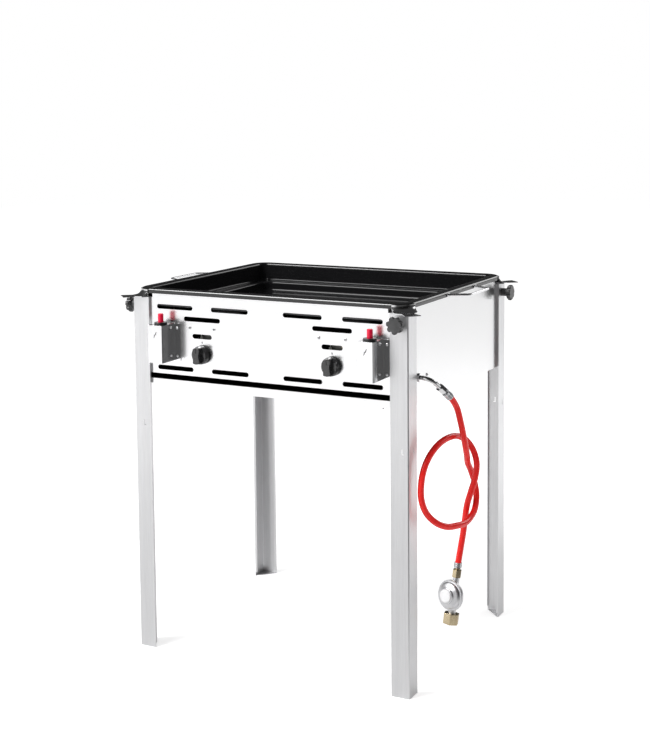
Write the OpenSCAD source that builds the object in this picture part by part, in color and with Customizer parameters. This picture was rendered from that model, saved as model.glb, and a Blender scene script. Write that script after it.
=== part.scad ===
/* [Frame] */
// Width over the outer faces of the legs
frame_w = 650; // [600:5:700]
// Depth over the outer faces of the legs
frame_d = 540; // [500:5:600]
// Height of the legs
leg_h = 777; // [700:1:850]
// Width of each leg flange
leg_w = 40; // [36:1:46]
// Sheet thickness of the legs
leg_t = 1.5; // [1.2:0.1:2]
// Depth of the folded lip along each leg flange
leg_lip = 6; // [5:0.5:8]
// Thickness of the triangular foot plates
foot_t = 2; // [1.5:0.5:4]

/* [Casing] */
// Sheet thickness of the casing
sheet = 1.2; // [1:0.1:1.5]
// Height of the pan seat above the leg tops
seat_rise = 17.5; // [17.5:0.5:24]
// Height of the side and back panels
casing_h = 207.5; // [200:0.5:230]
// Depth of the inward returns along the panel edges
return_w = 12; // [8:1:14]
// Height of the air slit below the front panel
slit_h = 12; // [8:1:16]
// Height of the rail below the air slit
rail_h = 18; // [14:1:24]
// Drop of the rail's lower edge below the side panels
rail_drop = 4; // [0:1:6]
// Length of the cut under the rail's left end
rail_cut_l = 61; // [45:1:70]
// Height of the cut under the rail's left end
rail_cut_h = 7; // [3:0.5:8]
// Length of the nick under the rail's right end
nick_l = 53; // [40:1:60]
// Height of the nick under the rail's right end
nick_h = 2.5; // [1.5:0.5:4]

/* [Front slots] */
// Height of every slot
slot_h = 10; // [6:1:12]
// Length of the vent slots and upper sight slots
slot_w = 90; // [70:1:100]
// Length of the lower sight slots
sight_w = 48; // [30:1:60]
// Distance of the inner vent slots from the middle
vent_in = 86.5; // [80:0.5:92]
// Distance of the outer vent slots from the frame's sides
vent_side = 102.5; // [97:0.5:113]
// Top vent row below the pan seat
vent_top_drop = 36.5; // [34:0.5:44]
// Bottom vent row above the front panel's lower edge
vent_low_rise = 13.5; // [10:0.5:16]
// Upper sight slots above the knob axis
sight_high = 74; // [72:1:76]
// Lower sight slots above the knob axis
sight_low = 38; // [36:0.5:42]

/* [Burners and gas] */
// Distance of each burner and knob from the frame's side
burner_side = 170.5; // [165:0.5:175]
// Height of the knob axis below the pan seat
knob_drop = 133.5; // [133:0.5:137]
// Gap between each burner head and the back panel
burner_gap = 49; // [30:1:110]
// Width of the burner head
burner_w = 46; // [40:1:52]
// Height of the burner head
burner_h = 22; // [18:1:24]
// Underside of the burner head above the knob axis
burner_rise = 14; // [13.5:0.5:15]
// Pitch of the flame ports
port_pitch = 20; // [12:1:30]
// Diameter of the flame ports
port_d = 2.6; // [2:0.1:3]
// Diameter of the mixing tube
mixer_d = 24; // [20:1:26]
// Diameter of the gas manifold
manifold_d = 16; // [14:1:18]
// Distance of the manifold behind the front panel
manifold_back = 49; // [46:1:52]
// Distance of the manifold below the knob axis
manifold_drop = 18; // [16:1:20]

/* [Valve knobs] */
// Diameter of the knob
knob_d = 40; // [38:1:48]
// Length of the knob along its axis
knob_l = 22; // [20:1:32]
// Gap between knob and panel at rest
knob_gap = 4; // [3.5:0.5:6]
// Push travel of the knob
knob_push = 3; // [2:0.5:3]
// Diameter of the spindle
spindle_d = 8; // [7:0.5:9]

/* [Igniters] */
// Distance of the left igniter from the frame's side
igniter_left = 82; // [81:0.5:85]
// Distance of the right igniter from the frame's side
igniter_right = 75; // [75:0.5:79]
// Width of the igniter cover
cover_w = 37; // [34:1:38]
// Depth of the igniter cover
cover_d = 46; // [42:1:50]
// Height of the igniter cover
cover_h = 80; // [74:1:84]
// Width of the riveted flanges
cover_flange = 16; // [12:0.5:16]
// Lower edge of the cover below the knob axis
cover_drop = 17; // [12:1:20]
// Diameter of the push button
button_d = 12; // [10:0.5:13]
// Height of the button above the collar nut
button_rise = 18; // [14:1:20]
// Push travel of the button
button_push = 6; // [4:0.5:8]

/* [Pan] */
// Overhang of the pan rim beyond the casing
pan_over = 3; // [2.5:0.5:5]
// Sheet thickness of the pan
pan_t = 1.5; // [1.2:0.1:2]
// Width of the pan rim
rim_w = 22; // [20:1:26]
// Height of the rim's turned-down edge
rim_h = 10.5; // [9:0.5:15]
// Corner radius of the rim
rim_r = 38; // [36:1:44]
// Depth of the ledge below the rim
ledge_depth = 41; // [34:1:45]
// Width of the ledge
ledge_w = 26; // [22:1:34]
// Depth of the pan below the rim
pan_depth = 65; // [60:1:72]
// Corner radius of the basin
basin_r = 22; // [18:1:30]
// Wire diameter of the handles
wire_d = 5; // [4:0.5:6]
// Reach of each handle beyond the rim
handle_reach = 41; // [34:1:48]
// Length of the handle's outer bar
handle_bar = 105; // [90:5:130]
// Length of the handle along the rim
handle_base = 150; // [135:5:180]
// Offset of each handle along the rim
handle_shift = 14; // [0:1:30]

/* [Corner supports] */
// Reach of the support beyond its curl
ear_reach = 28; // [20:1:32]
// Radius of the support's curl
ear_curl = 15; // [13:0.5:15]
// Width of the support at the pan
ear_top_w = 50; // [44:1:56]
// Width of the support at its waist
ear_waist_w = 26; // [22:1:30]
// Width of the support at its tip
ear_tip_w = 34; // [30:1:38]

/* [Star knobs] */
// Diameter over the lobes
star_d = 36; // [32:1:40]
// Number of lobes
star_lobes = 7; // [5:1:8]
// Thickness of the lobed head
star_h = 12.5; // [10:0.5:20]
// Diameter of the hub
hub_d = 18; // [14:0.5:19]
// Length of the hub
hub_l = 12; // [10:1:20]
// Diameter of the clamping stud
stud_d = 8; // [6:1:8]
// Distance of the stud from the leg's corner
stud_in = 20; // [16:0.5:21]
// Distance of the stud below the leg's top
stud_drop = 20; // [19:1:24]

/* [Hose and regulator] */
// Outer diameter of the hose
hose_d = 13; // [12:0.5:14]
// Diameter over the regulator's flange
reg_d = 63; // [58:1:68]
// Distance from the hose end to the regulator's centre
reg_drop = 68; // [66:1:72]
// Width across flats of the cylinder nut
cyl_nut_af = 30; // [28:1:32]
// Length of the cylinder nut
cyl_nut_l = 22; // [20:1:26]
// Inner diameter of the cylinder nut's thread
cyl_thread_d = 20; // [19:0.5:22]

/* [Hidden] */

// clearances: loose holes, running fits, gaps under knobs; overlaps for clean cuts and joined tubes
loose = 0.3;
running = 0.05;
knob_clear = 0.2;
eps = 1;
weld = 0.5;
weld_step = 0.04;

// faces of the casing, its heights and the front's heights
casing_w = frame_w - 2 * leg_lip;
casing_d = frame_d - 2 * leg_lip;
casing_top = leg_h + seat_rise;
casing_z = casing_top - casing_h;
rail_z = casing_z - rail_drop;
front_z = rail_z + rail_h + slit_h;
notch_w = 40;
front_y = -casing_d / 2;
vent_out = frame_w / 2 - vent_side;
tray_gap = 0.5;
side_x = casing_w / 2;
knob_z = casing_top - knob_drop;

// round edges of sheet, and the hooks lanced in the legs
bend_r = 3;
lip_start = 10;
hook_drop = 280.5;
hook_z = leg_h - hook_drop;
hook_h = 12;
hook_foot = 5;
hook_gap = 1.6;
hook_in = [22, 16];

// order of the corners: front left, front right, back right, back left
corner_sign = [[-1, -1], [1, -1], [1, 1], [-1, 1]];
stud_z = leg_h - stud_drop;
stud_out = 18;
stud_head_t = 2;

// pan heights
rim_top = casing_top + pan_t;
rim_hx = side_x + pan_over;
rim_hy = casing_d / 2 + pan_over;
wall_hx = rim_hx - rim_w;
wall_hy = rim_hy - rim_w;
wall_r = rim_r - rim_w;
basin_hx = wall_hx - ledge_w;
basin_hy = wall_hy - ledge_w;
rim_bend = 3;
lip_bend = 5.5;
toe_bend = 4;
floor_bend = 8;
lug_t = 1.5;
lug_l = 14;
lug_h = 6;
handle_drop = 6.5;
handle_z = rim_top - handle_drop;
handle_bend = 10;

// manifold and valves
burner_x = frame_w / 2 - burner_side;
manifold_y = front_y + manifold_back;
manifold_z = knob_z - manifold_drop;
manifold_end = side_x + 3;
valve_r = 11;
valve_flange = 24;
valve_flange_t = 3;
valve_back = manifold_y + 15;
valve_face = front_y + sheet;
core_d = 14;
core_l = 22;
core_front = valve_face + 5;
spindle_flat = 0.35;
outlet_l = 10;
injector_af = 10;
injector_l = 8;
nozzle_l = 6;
burner_in = 29;
burner_front = front_y + burner_in;
burner_l = casing_d - burner_in - burner_gap;
burner_z = knob_z + burner_rise;
burner_t = 1.2;
mixer_front = valve_back + outlet_l + injector_l;
mixer_back = -20;
bell_d = 27;
port_x = 9;
shelf_back = burner_front + 13;
shelf_w = 56;
bracket_w = 84;
bracket_rise = 67;
bracket_top = knob_z + bracket_rise;
window_w = 60;
window_h = 24;
screw_dx = 30;
screw_rise = 56;
screw_z = knob_z + screw_rise;
rear_rail_y = burner_front + burner_l - 20;
rear_rail_w = 20;
sensor_y = burner_front - 9;
sensor_dx = 14;
probe_d = 6;
tip_d = 2;
lead_d = 3;
strap_screw_y = manifold_y + 49;
strap_screw_z = manifold_z - 3;
strap_h = 26;

// igniters
cover_z = knob_z - cover_drop;
cover_top = cover_z + cover_h;
cover_t = 1.5;
igniter_y = front_y - cover_d / 2;
igniter_x = [igniter_left - frame_w / 2, frame_w / 2 - igniter_right];
body_d = 24;
body_l = 50;
neck_d = 18;
collar_d = 28;
collar_h = 4.5;
button_stay = 25;
rivet_d = 6;
rivet_h = 1.6;
rivet_in = 10;
lead_hole_z = cover_z + 12;

// hose, its end fittings and their axes
elbow_start = [manifold_end, manifold_y, manifold_z];
elbow_run = 8;
elbow_r = 25;
elbow_turn = 71;
elbow_roll = 42.7;
elbow_d = 9;
elbow_tail = 14;
inlet_nut_l = 15;
inlet_nut_af = 15;
tail_l = 22.7;
reg_tilt = 173;
reg_lean = 5;
reg_turn = 17;
ferrule_d = 16;
ferrule_l = 13;
reg_nut_l = 16;
reg_nut_af = 17;
reg_half = 13;
boss_d = 14;
spigot_d = 16;
outlet_start = reg_drop + 39;
nut_web = 6;
collar_pocket = 3;
face_shift = 12;
cap_d = 27;

// route of the hose from the inlet to the regulator, counted from its upper end
hose_steps = [
    [0, 0, 0], [6, 19, -24], [10, 29, -54], [12, 39, -83], [12, 51, -110],
    [8, 69, -134], [2, 89, -155], [2, 107, -176], [7, 114, -201], [14, 108, -228],
    [18, 88, -251], [19, 60, -262], [19, 30, -265], [15, 0, -262], [5, -29, -258],
    [-8, -54, -245], [-21, -72, -223], [-28, -81, -195], [-29, -81, -165], [-27, -73, -136],
    [-23, -56, -113], [-17, -32, -96], [-12, -4, -88], [-8, 25, -87], [-5, 54, -92],
    [3, 78, -105], [13, 92, -128], [20, 94, -156], [18, 90, -185], [11, 85, -213],
    [3, 83, -242], [-1, 82, -271], [-5, 82, -301], [-9, 79, -331], [-13, 74, -365]
];
hose_heading = [
    cos(elbow_turn),
    sin(elbow_turn) * cos(elbow_roll),
    -sin(elbow_turn) * sin(elbow_roll)
];
elbow_bend = [
    sin(elbow_turn),
    (1 - cos(elbow_turn)) * cos(elbow_roll),
    (cos(elbow_turn) - 1) * sin(elbow_roll)
];
hose_start = elbow_start + [elbow_run, 0, 0] + elbow_r * elbow_bend
    + (elbow_tail + inlet_nut_l + tail_l) * hose_heading;
hose_route = [for (step = hose_steps) hose_start + step];
hose_end = hose_route[len(hose_route) - 1];
hose_sides = 12;
lead_sides = 8;

// ---------------------------------------------------------------- tubes along a route
function unit(v) = v / norm(v);
function across(n, t) = unit(n - (n * t) * t);
function headings(path, first, last) = [
    for (i = [0:len(path) - 1])
        i == 0 ? unit(first)
        : i == len(path) - 1 ? unit(last)
        : unit(path[i + 1] - path[i - 1])
];
function carried(heads, i = 0, done = []) =
    i == len(heads) ? done
    : carried(heads, i + 1, concat(done, [across(i == 0 ? [0.3, 0.2, 1] : done[i - 1], heads[i])]));
function ring(p, t, n, r, sides) = [
    for (k = [0:sides - 1]) p + r * (cos(360 * k / sides) * n + sin(360 * k / sides) * cross(t, n))
];

module tube_along(path, d, sides, first, last) {
    heads = headings(path, first, last);
    norms = carried(heads);
    points = [for (i = [0:len(path) - 1]) each ring(path[i], heads[i], norms[i], d / 2, sides)];
    walls = [
        for (i = [0:len(path) - 2], k = [0:sides - 1])
            let (a = i * sides + k, b = i * sides + (k + 1) % sides)
                each [[a, a + sides, b + sides], [a, b + sides, b]]
    ];
    top = (len(path) - 1) * sides;
    caps = [
        [for (k = [0:sides - 1]) k],
        [for (k = [sides - 1:-1:0]) top + k]
    ];
    polyhedron(points = points, faces = concat(walls, caps));
}

// ---------------------------------------------------------------- shared shapes
module rod(d, from, length, axis) {
    turn = axis == "x" ? [0, 90, 0] : axis == "y" ? [-90, 0, 0] : [0, 0, 0];
    translate(from) rotate(turn) cylinder(d = d, h = length, $fn = 48);
}

module at_corner(i) {
    translate([corner_sign[i][0] * frame_w / 2, corner_sign[i][1] * frame_d / 2, 0])
        rotate([0, 0, 90 * i])
            children();
}

module both_sides() {
    for (s = [-1, 1])
        translate([s * burner_x, 0, 0])
            children();
}

module one_corner_round(size, r) {
    translate([r, 0]) square([size - r, size]);
    translate([0, r]) square([size, size - r]);
    translate([r, r]) circle(r = r, $fn = 48);
}

module round_rect(hx, hy, r) {
    square([2 * (hx - r), 2 * hy], center = true);
    square([2 * hx, 2 * (hy - r)], center = true);
    for (x = [-1, 1], y = [-1, 1])
        translate([x * (hx - r), y * (hy - r)]) circle(r = r, $fn = 64);
}

module stadium(length, height) {
    square([length - height, height], center = true);
    for (s = [-1, 1])
        translate([s * (length - height) / 2, 0]) circle(d = height, $fn = 32);
}

// quarter of a bent sheet about a centre, toward the signs given
module bend(centre, inner, thick, toward) {
    outer = inner + thick;
    translate(centre)
        intersection() {
            difference() {
                circle(r = outer, $fn = 64);
                circle(r = inner, $fn = 64);
            }
            translate([toward[0] < 0 ? -outer : 0, toward[1] < 0 ? -outer : 0]) square(outer);
        }
}

// runs a profile, drawn outward and up, round a rectangle with round corners
module round_loop(hx, hy, r) {
    for (i = [0:3])
        translate([-corner_sign[i][0] * (hx - r), -corner_sign[i][1] * (hy - r), 0])
            rotate([0, 0, 90 * i])
                rotate_extrude(angle = 90, $fn = 96) translate([r, 0]) children();
    for (m = [0, 1]) {
        mirror([m, 0, 0])
            translate([hx, hy - r, 0]) rotate([90, 0, 0])
                linear_extrude(2 * (hy - r)) children();
        mirror([0, m, 0])
            translate([-(hx - r), hy, 0]) rotate([90, 0, 90])
                linear_extrude(2 * (hx - r)) children();
    }
}

module hexagon(af, from, length) {
    translate(from) cylinder(d = af / cos(30), h = length, $fn = 6);
}

// ---------------------------------------------------------------- legs and feet
module hook_cut() {
    translate([0, -eps, 0]) cube([hook_gap, leg_t + 2 * eps, hook_h]);
    translate([0, -eps, 0]) cube([hook_foot, leg_t + 2 * eps, hook_gap]);
}

module leg(i) {
    color("gainsboro")
        at_corner(i)
            difference() {
                union() {
                    linear_extrude(leg_h)
                        difference() {
                            one_corner_round(leg_w, bend_r);
                            translate([leg_t, leg_t]) one_corner_round(leg_w, bend_r - leg_t);
                        }
                    translate([leg_w - leg_t, 0, lip_start])
                        cube([leg_t, leg_lip, leg_h - lip_start]);
                    translate([0, leg_w - leg_t, lip_start])
                        cube([leg_lip, leg_t, leg_h - lip_start]);
                }
                rod(stud_d + 2 * loose, [-eps, stud_in, stud_z], leg_t + 2 * eps, "x");
                translate([hook_in[0], 0, hook_z]) hook_cut();
                translate([0, hook_in[1], hook_z]) rotate([0, 0, -90]) hook_cut();
            }
}

module foot_plates() {
    color("silver")
        for (i = [0:3])
            at_corner(i)
                linear_extrude(foot_t)
                    polygon([
                        [bend_r, leg_t], [leg_w, leg_t], [leg_t, leg_w], [leg_t, bend_r]
                    ]);
}

// ---------------------------------------------------------------- casing
// a sheet in the XZ plane with its outer face at y = 0, its edges returned inward
module sheet_panel(length, z0, z1, notch_z) {
    short = length - 2 * notch_w;
    difference() {
        union() {
            translate([-length / 2, 0, z0]) cube([length, sheet, z1 - z0]);
            translate([-short / 2, 0, z0]) cube([short, return_w, sheet]);
            translate([-short / 2, 0, z1 - sheet]) cube([short, return_w, sheet]);
        }
        for (s = [-1, 1])
            translate([s * length / 2 - notch_w, -eps, notch_z])
                cube([2 * notch_w, return_w + 2 * eps, z1 - notch_z + eps]);
    }
}

module stud_hole(i) {
    at_corner(i)
        rod(stud_d + 2 * loose, [leg_lip - eps, stud_in, stud_z], sheet + 2 * eps, "x");
}

module side_panel(s) {
    color("whitesmoke")
        difference() {
            translate([s * side_x, 0, 0]) rotate([0, 0, s * 90])
                sheet_panel(casing_d - 2 * sheet, casing_z, casing_top, leg_h);
            stud_hole(s > 0 ? 2 : 0);
            if (s > 0) {
                rod(manifold_d + 2 * loose, [side_x - sheet - eps, manifold_y, manifold_z],
                    sheet + 2 * eps, "x");
                rod(4, [side_x - sheet - eps, strap_screw_y, strap_screw_z], sheet + 2 * eps, "x");
            }
        }
}

module back_panel() {
    color("whitesmoke")
        difference() {
            translate([0, -front_y, 0]) rotate([0, 0, 180])
                sheet_panel(casing_w, casing_z, casing_top, leg_h);
            stud_hole(3);
        }
}

module slot_cut(x, z, length) {
    translate([x, front_y - eps, z]) rotate([-90, 0, 0])
        linear_extrude(sheet + 2 * eps) stadium(length, slot_h);
}

module front_panel() {
    color("whitesmoke")
        difference() {
            translate([0, front_y, 0]) sheet_panel(casing_w, front_z, casing_top, leg_h);
            stud_hole(1);
            for (x = [-vent_out, -vent_in, vent_in, vent_out]) {
                slot_cut(x, casing_top - vent_top_drop, slot_w);
                slot_cut(x, front_z + vent_low_rise, slot_w);
            }
            for (s = [-1, 1]) {
                slot_cut(s * burner_x, knob_z + sight_high, slot_w);
                slot_cut(s * burner_x, knob_z + sight_low, sight_w);
            }
            both_sides() {
                rod(spindle_d + 3, [0, front_y - eps, knob_z], sheet + 2 * eps, "y");
                for (dx = [-screw_dx, screw_dx])
                    rod(4, [dx, front_y - eps, screw_z], sheet + 2 * eps, "y");
            }
            for (x = igniter_x)
                rod(8, [x, front_y - eps, lead_hole_z], sheet + 2 * eps, "y");
        }
}

// tray that lies on the casing's lower returns and carries the rail below the air slit
module bottom_tray() {
    tray_w = casing_w - 2 * sheet - 2 * tray_gap;
    color("whitesmoke")
        translate([0, front_y, 0])
            difference() {
                union() {
                    sheet_panel(casing_w, rail_z, rail_z + rail_h, rail_z + rail_h);
                    translate([-tray_w / 2, 0, casing_z + sheet])
                        cube([tray_w, casing_d - sheet - tray_gap, sheet]);
                }
                translate([-casing_w / 2 - eps, -eps, rail_z - eps])
                    cube([rail_cut_l + eps, return_w + 2 * eps, rail_cut_h + eps]);
                translate([casing_w / 2 - nick_l, -eps, rail_z - eps])
                    cube([nick_l + eps, return_w + 2 * eps, nick_h + eps]);
            }
}

// curled plate about the rim's corner that holds the pan and caps the leg
module corner_supports() {
    curl_in = rim_r + 0.5;
    curl_c = curl_in + ear_curl + cover_t;
    tip = curl_c + ear_reach;
    color("silver")
        for (i = [0:3])
            translate([corner_sign[i][0] * (rim_hx - rim_r), corner_sign[i][1] * (rim_hy - rim_r), 0])
                rotate([0, 0, 90 * i + 225])
                    difference() {
                        intersection() {
                            rotate([0, 0, -60]) rotate_extrude(angle = 120, $fn = 96) {
                                bend([curl_c, leg_h + cover_t + ear_curl], ear_curl, cover_t, [-1, -1]);
                                translate([wall_r + 6, leg_h])
                                    square([tip + ear_tip_w - wall_r, cover_t]);
                            }
                            translate([0, 0, leg_h - eps])
                                linear_extrude(ear_curl + 2 * cover_t + 2 * eps)
                                    polygon([
                                        [wall_r + 6, -ear_top_w / 2], [rim_r + 6, -ear_top_w / 2],
                                        [curl_c + 2, -ear_waist_w / 2], [tip, -ear_tip_w / 2],
                                        [tip, ear_tip_w / 2], [curl_c + 2, ear_waist_w / 2],
                                        [rim_r + 6, ear_top_w / 2], [wall_r + 6, ear_top_w / 2]
                                    ]);
                        }
                        rod(3, [curl_c + 4, 0, leg_h - eps], cover_t + 2 * eps, "z");
                    }
}

// ---------------------------------------------------------------- clamping of the legs
module clamp_studs() {
    color("silver")
        for (i = [0:3])
            at_corner(i) {
                rod(stud_d, [-stud_out, stud_in, stud_z], stud_out + leg_lip + sheet, "x");
                rod(2 * stud_d, [leg_t, stud_in, stud_z], leg_lip - leg_t, "x");
                rod(2 * stud_d, [leg_lip + sheet, stud_in, stud_z], stud_head_t, "x");
            }
}

module star_outline() {
    lobe_r = star_d * 0.13;
    waist_r = star_d / 2 - lobe_r;
    difference() {
        union() {
            circle(r = waist_r, $fn = 64);
            for (k = [0:star_lobes - 1])
                rotate(360 * k / star_lobes) translate([waist_r, 0]) circle(r = lobe_r, $fn = 32);
        }
        for (k = [0:star_lobes - 1])
            rotate(360 * (k + 0.5) / star_lobes)
                translate([star_d / 2 + 0.5, 0]) circle(r = lobe_r * 0.8, $fn = 32);
    }
}

module star_knob(i) {
    head_x = -knob_clear - hub_l - star_h;
    color("dimgray")
        at_corner(i)
            translate([0, stud_in, stud_z])
                difference() {
                    union() {
                        rod(hub_d, [head_x + 2, 0, 0], hub_l + star_h - 2, "x");
                        intersection() {
                            translate([head_x, 0, 0]) rotate([0, 90, 0])
                                linear_extrude(star_h) star_outline();
                            translate([head_x, 0, 0]) rotate([0, 90, 0])
                                rotate_extrude($fn = 64)
                                    polygon([
                                        [0, 0], [star_d / 2 - 2.5, 0], [star_d / 2 + 0.1, 2.5],
                                        [star_d / 2 + 0.1, star_h * 0.6], [hub_d / 2, star_h], [0, star_h]
                                    ]);
                        }
                    }
                    rod(stud_d + 2 * running, [-stud_out - 1, 0, 0], stud_out + 2, "x");
                }
}

// ---------------------------------------------------------------- pan
module rim_profile() {
    translate([rim_w - pan_t, -rim_h]) square([pan_t, rim_h - rim_bend]);
    bend([rim_w - rim_bend, -rim_bend], rim_bend - pan_t, pan_t, [1, 1]);
    translate([lip_bend, -pan_t]) square([rim_w - rim_bend - lip_bend, pan_t]);
    bend([lip_bend, -lip_bend], lip_bend - pan_t, pan_t, [-1, 1]);
    translate([0, toe_bend - ledge_depth]) square([pan_t, ledge_depth - toe_bend - lip_bend]);
    bend([-toe_bend, toe_bend - ledge_depth], toe_bend, pan_t, [1, -1]);
}

module basin_profile() {
    bend([lip_bend, -ledge_depth - lip_bend], lip_bend - pan_t, pan_t, [-1, 1]);
    translate([0, floor_bend - pan_depth])
        square([pan_t, pan_depth - ledge_depth - lip_bend - floor_bend]);
    bend([-floor_bend, floor_bend - pan_depth], floor_bend, pan_t, [1, -1]);
}

module roasting_pan() {
    color([0.09, 0.09, 0.1]) translate([0, 0, rim_top]) {
        round_loop(wall_hx, wall_hy, wall_r) rim_profile();
        translate([0, 0, -ledge_depth - pan_t])
            linear_extrude(pan_t)
                difference() {
                    round_rect(wall_hx - toe_bend, wall_hy - toe_bend, wall_r - toe_bend);
                    round_rect(basin_hx + lip_bend, basin_hy + lip_bend, basin_r + lip_bend);
                }
        round_loop(basin_hx, basin_hy, basin_r) basin_profile();
        translate([0, 0, -pan_depth - pan_t])
            linear_extrude(pan_t)
                round_rect(basin_hx - floor_bend, basin_hy - floor_bend, basin_r - floor_bend);
    }
}

// wire loop that lies level beside the rim, with a bend at each end of its bar
module pan_handle(s) {
    outer_x = rim_hx + handle_reach;
    corner_y = handle_bar / 2;
    lean = atan2((handle_base - handle_bar) / 2, handle_reach);
    turn = 90 - lean;
    trim = handle_bend * tan(turn / 2);
    color("silver")
        rotate([0, 0, s > 0 ? 0 : 180])
            translate([0, handle_shift, handle_z])
                difference() {
                    union() {
                        rod(wire_d + weld_step, [outer_x, trim - corner_y - weld, 0],
                            handle_bar - 2 * trim + 2 * weld, "y");
                        for (m = [0, 1])
                            mirror([0, m, 0])
                                translate([outer_x - handle_bend, corner_y - trim, 0]) {
                                    rotate_extrude(angle = turn, $fn = 48)
                                        translate([handle_bend, 0]) circle(d = wire_d, $fn = 24);
                                    rotate([0, 0, turn]) translate([handle_bend, 0, 0])
                                        rod(wire_d + weld_step, [0, -weld, 0], handle_reach, "y");
                                }
                    }
                    translate([0, -handle_base, -wire_d])
                        cube([rim_hx + lug_t, 2 * handle_base, 2 * wire_d]);
                }
}

module pan_handle_lugs() {
    color("silver")
        for (s = [0, 180], m = [-1, 1])
            rotate([0, 0, s])
                translate([rim_hx, handle_shift + m * handle_base / 2 - lug_l / 2, handle_z - lug_h / 2])
                    cube([lug_t, lug_l, lug_h]);
}

// ---------------------------------------------------------------- burners
module burner(s) {
    hollow = mixer_d - 2 * burner_t;
    middle = burner_z + burner_h / 2;
    ports = floor((burner_l - 30) / port_pitch);
    color("silver")
        translate([s * burner_x, 0, 0])
            difference() {
                union() {
                    translate([0, burner_front, middle]) rotate([-90, 0, 0])
                        linear_extrude(burner_l) stadium(burner_w, burner_h);
                    rod(mixer_d, [0, mixer_front, knob_z], mixer_back - mixer_front, "y");
                    translate([0, mixer_front, knob_z]) rotate([-90, 0, 0])
                        cylinder(d1 = bell_d, d2 = mixer_d, h = 12, $fn = 48);
                    rod(mixer_d, [0, mixer_back, knob_z - mixer_d / 2], middle - knob_z + mixer_d / 2, "z");
                }
                translate([0, burner_front + burner_t, middle]) rotate([-90, 0, 0])
                    linear_extrude(burner_l - 2 * burner_t)
                        stadium(burner_w - 2 * burner_t, burner_h - 2 * burner_t);
                rod(hollow, [0, mixer_front - eps, knob_z], mixer_back - mixer_front + eps, "y");
                rod(hollow, [0, mixer_back, knob_z - hollow / 2], middle - knob_z + hollow / 2, "z");
                for (k = [0:ports], x = [-port_x, port_x])
                    rod(port_d, [x, burner_front + 15 + k * port_pitch, middle], burner_h, "z");
            }
}

module burner_bracket(s) {
    color("silver")
        translate([s * burner_x, 0, 0])
            difference() {
                union() {
                    translate([-bracket_w / 2, valve_face, burner_z - sheet])
                        cube([bracket_w, sheet, bracket_top - burner_z + sheet]);
                    translate([-shelf_w / 2, valve_face, burner_z - sheet])
                        cube([shelf_w, shelf_back - valve_face, sheet]);
                }
                translate([-window_w / 2, valve_face - eps, knob_z + sight_low - window_h / 2])
                    cube([window_w, sheet + 2 * eps, window_h]);
                for (dx = [-screw_dx, screw_dx])
                    rod(4, [dx, valve_face - eps, screw_z], sheet + 2 * eps, "y");
                for (dx = [-sensor_dx, sensor_dx])
                    rod(probe_d + 1, [dx, sensor_y, burner_z - sheet - eps], sheet + 2 * eps, "z");
            }
}

module burner_rear_rail() {
    inside = casing_w - 2 * sheet;
    color("silver")
        translate([-inside / 2, rear_rail_y, burner_z - cover_t]) {
            cube([inside, rear_rail_w, cover_t]);
            translate([0, 0, cover_t - rear_rail_w]) cube([inside, cover_t, rear_rail_w]);
        }
}

// ---------------------------------------------------------------- gas line and valves
module gas_manifold() {
    start = -burner_x - 20;
    color("goldenrod")
        difference() {
            rod(manifold_d, [start, manifold_y, manifold_z], manifold_end - start, "x");
            rod(manifold_d - 4, [start - eps, manifold_y, manifold_z],
                manifold_end - start + 2 * eps, "x");
        }
}

module manifold_plug() {
    start = -burner_x - 20;
    color("goldenrod") {
        rod(manifold_d - 4 - 2 * running, [start - 4, manifold_y, manifold_z], 14, "x");
        translate([start - 6, manifold_y, manifold_z]) rotate([0, 90, 0])
            hexagon(manifold_d, [0, 0, 0], 6);
    }
}

module manifold_strap() {
    strap_x = side_x - sheet - cover_t;
    color("silver")
        difference() {
            translate([strap_x, manifold_y - 16, manifold_z - strap_h / 2])
                cube([cover_t, strap_screw_y - manifold_y + 26, strap_h]);
            rod(manifold_d + 2 * running, [strap_x - eps, manifold_y, manifold_z],
                cover_t + 2 * eps, "x");
            rod(4, [strap_x - eps, strap_screw_y, strap_screw_z], cover_t + 2 * eps, "x");
        }
}

module valve_body(s) {
    length = valve_back - valve_face;
    color("goldenrod")
        translate([s * burner_x, 0, 0])
            difference() {
                union() {
                    translate([-valve_flange / 2, valve_face, knob_z - valve_flange / 2])
                        cube([valve_flange, valve_flange_t, valve_flange]);
                    rod(2 * valve_r, [0, valve_face, knob_z], length, "y");
                    rod(12, [0, valve_back, knob_z], outlet_l, "y");
                    translate([-9, manifold_y - 10, manifold_z])
                        cube([18, 20, manifold_drop]);
                    rod(10, [valve_r - 3, manifold_y - 12, knob_z], 5, "x");
                }
                rod(core_d, [0, valve_face - eps, knob_z], core_front + core_l + 4 - valve_face, "y");
                rod(manifold_d, [-20, manifold_y, manifold_z], 40, "x");
                rod(3, [0, core_front, knob_z], valve_back + outlet_l + eps - core_front, "y");
            }
}

module injectors() {
    color("gold")
        both_sides()
            translate([0, valve_back + outlet_l, knob_z]) rotate([-90, 0, 0])
                difference() {
                    union() {
                        hexagon(injector_af, [0, 0, 0], injector_l);
                        translate([0, 0, injector_l]) cylinder(d1 = 7, d2 = 3, h = nozzle_l, $fn = 32);
                    }
                    translate([0, 0, -eps])
                        cylinder(d = 1, h = injector_l + nozzle_l + 2 * eps, $fn = 24);
                }
}

// round section with a flat on top, which turns with its partner
module flatted(d, flat) {
    difference() {
        circle(d = d, $fn = 48);
        translate([-d, d / 2 - flat]) square([2 * d, d]);
    }
}

module valve_core(s) {
    color("goldenrod")
        translate([s * burner_x, core_front, knob_z]) rotate([-90, 0, 0])
            linear_extrude(core_l)
                difference() {
                    circle(d = core_d - 2 * running, $fn = 48);
                    rotate(180) flatted(spindle_d + 2 * running, spindle_flat * spindle_d / 4);
                }
}

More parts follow.
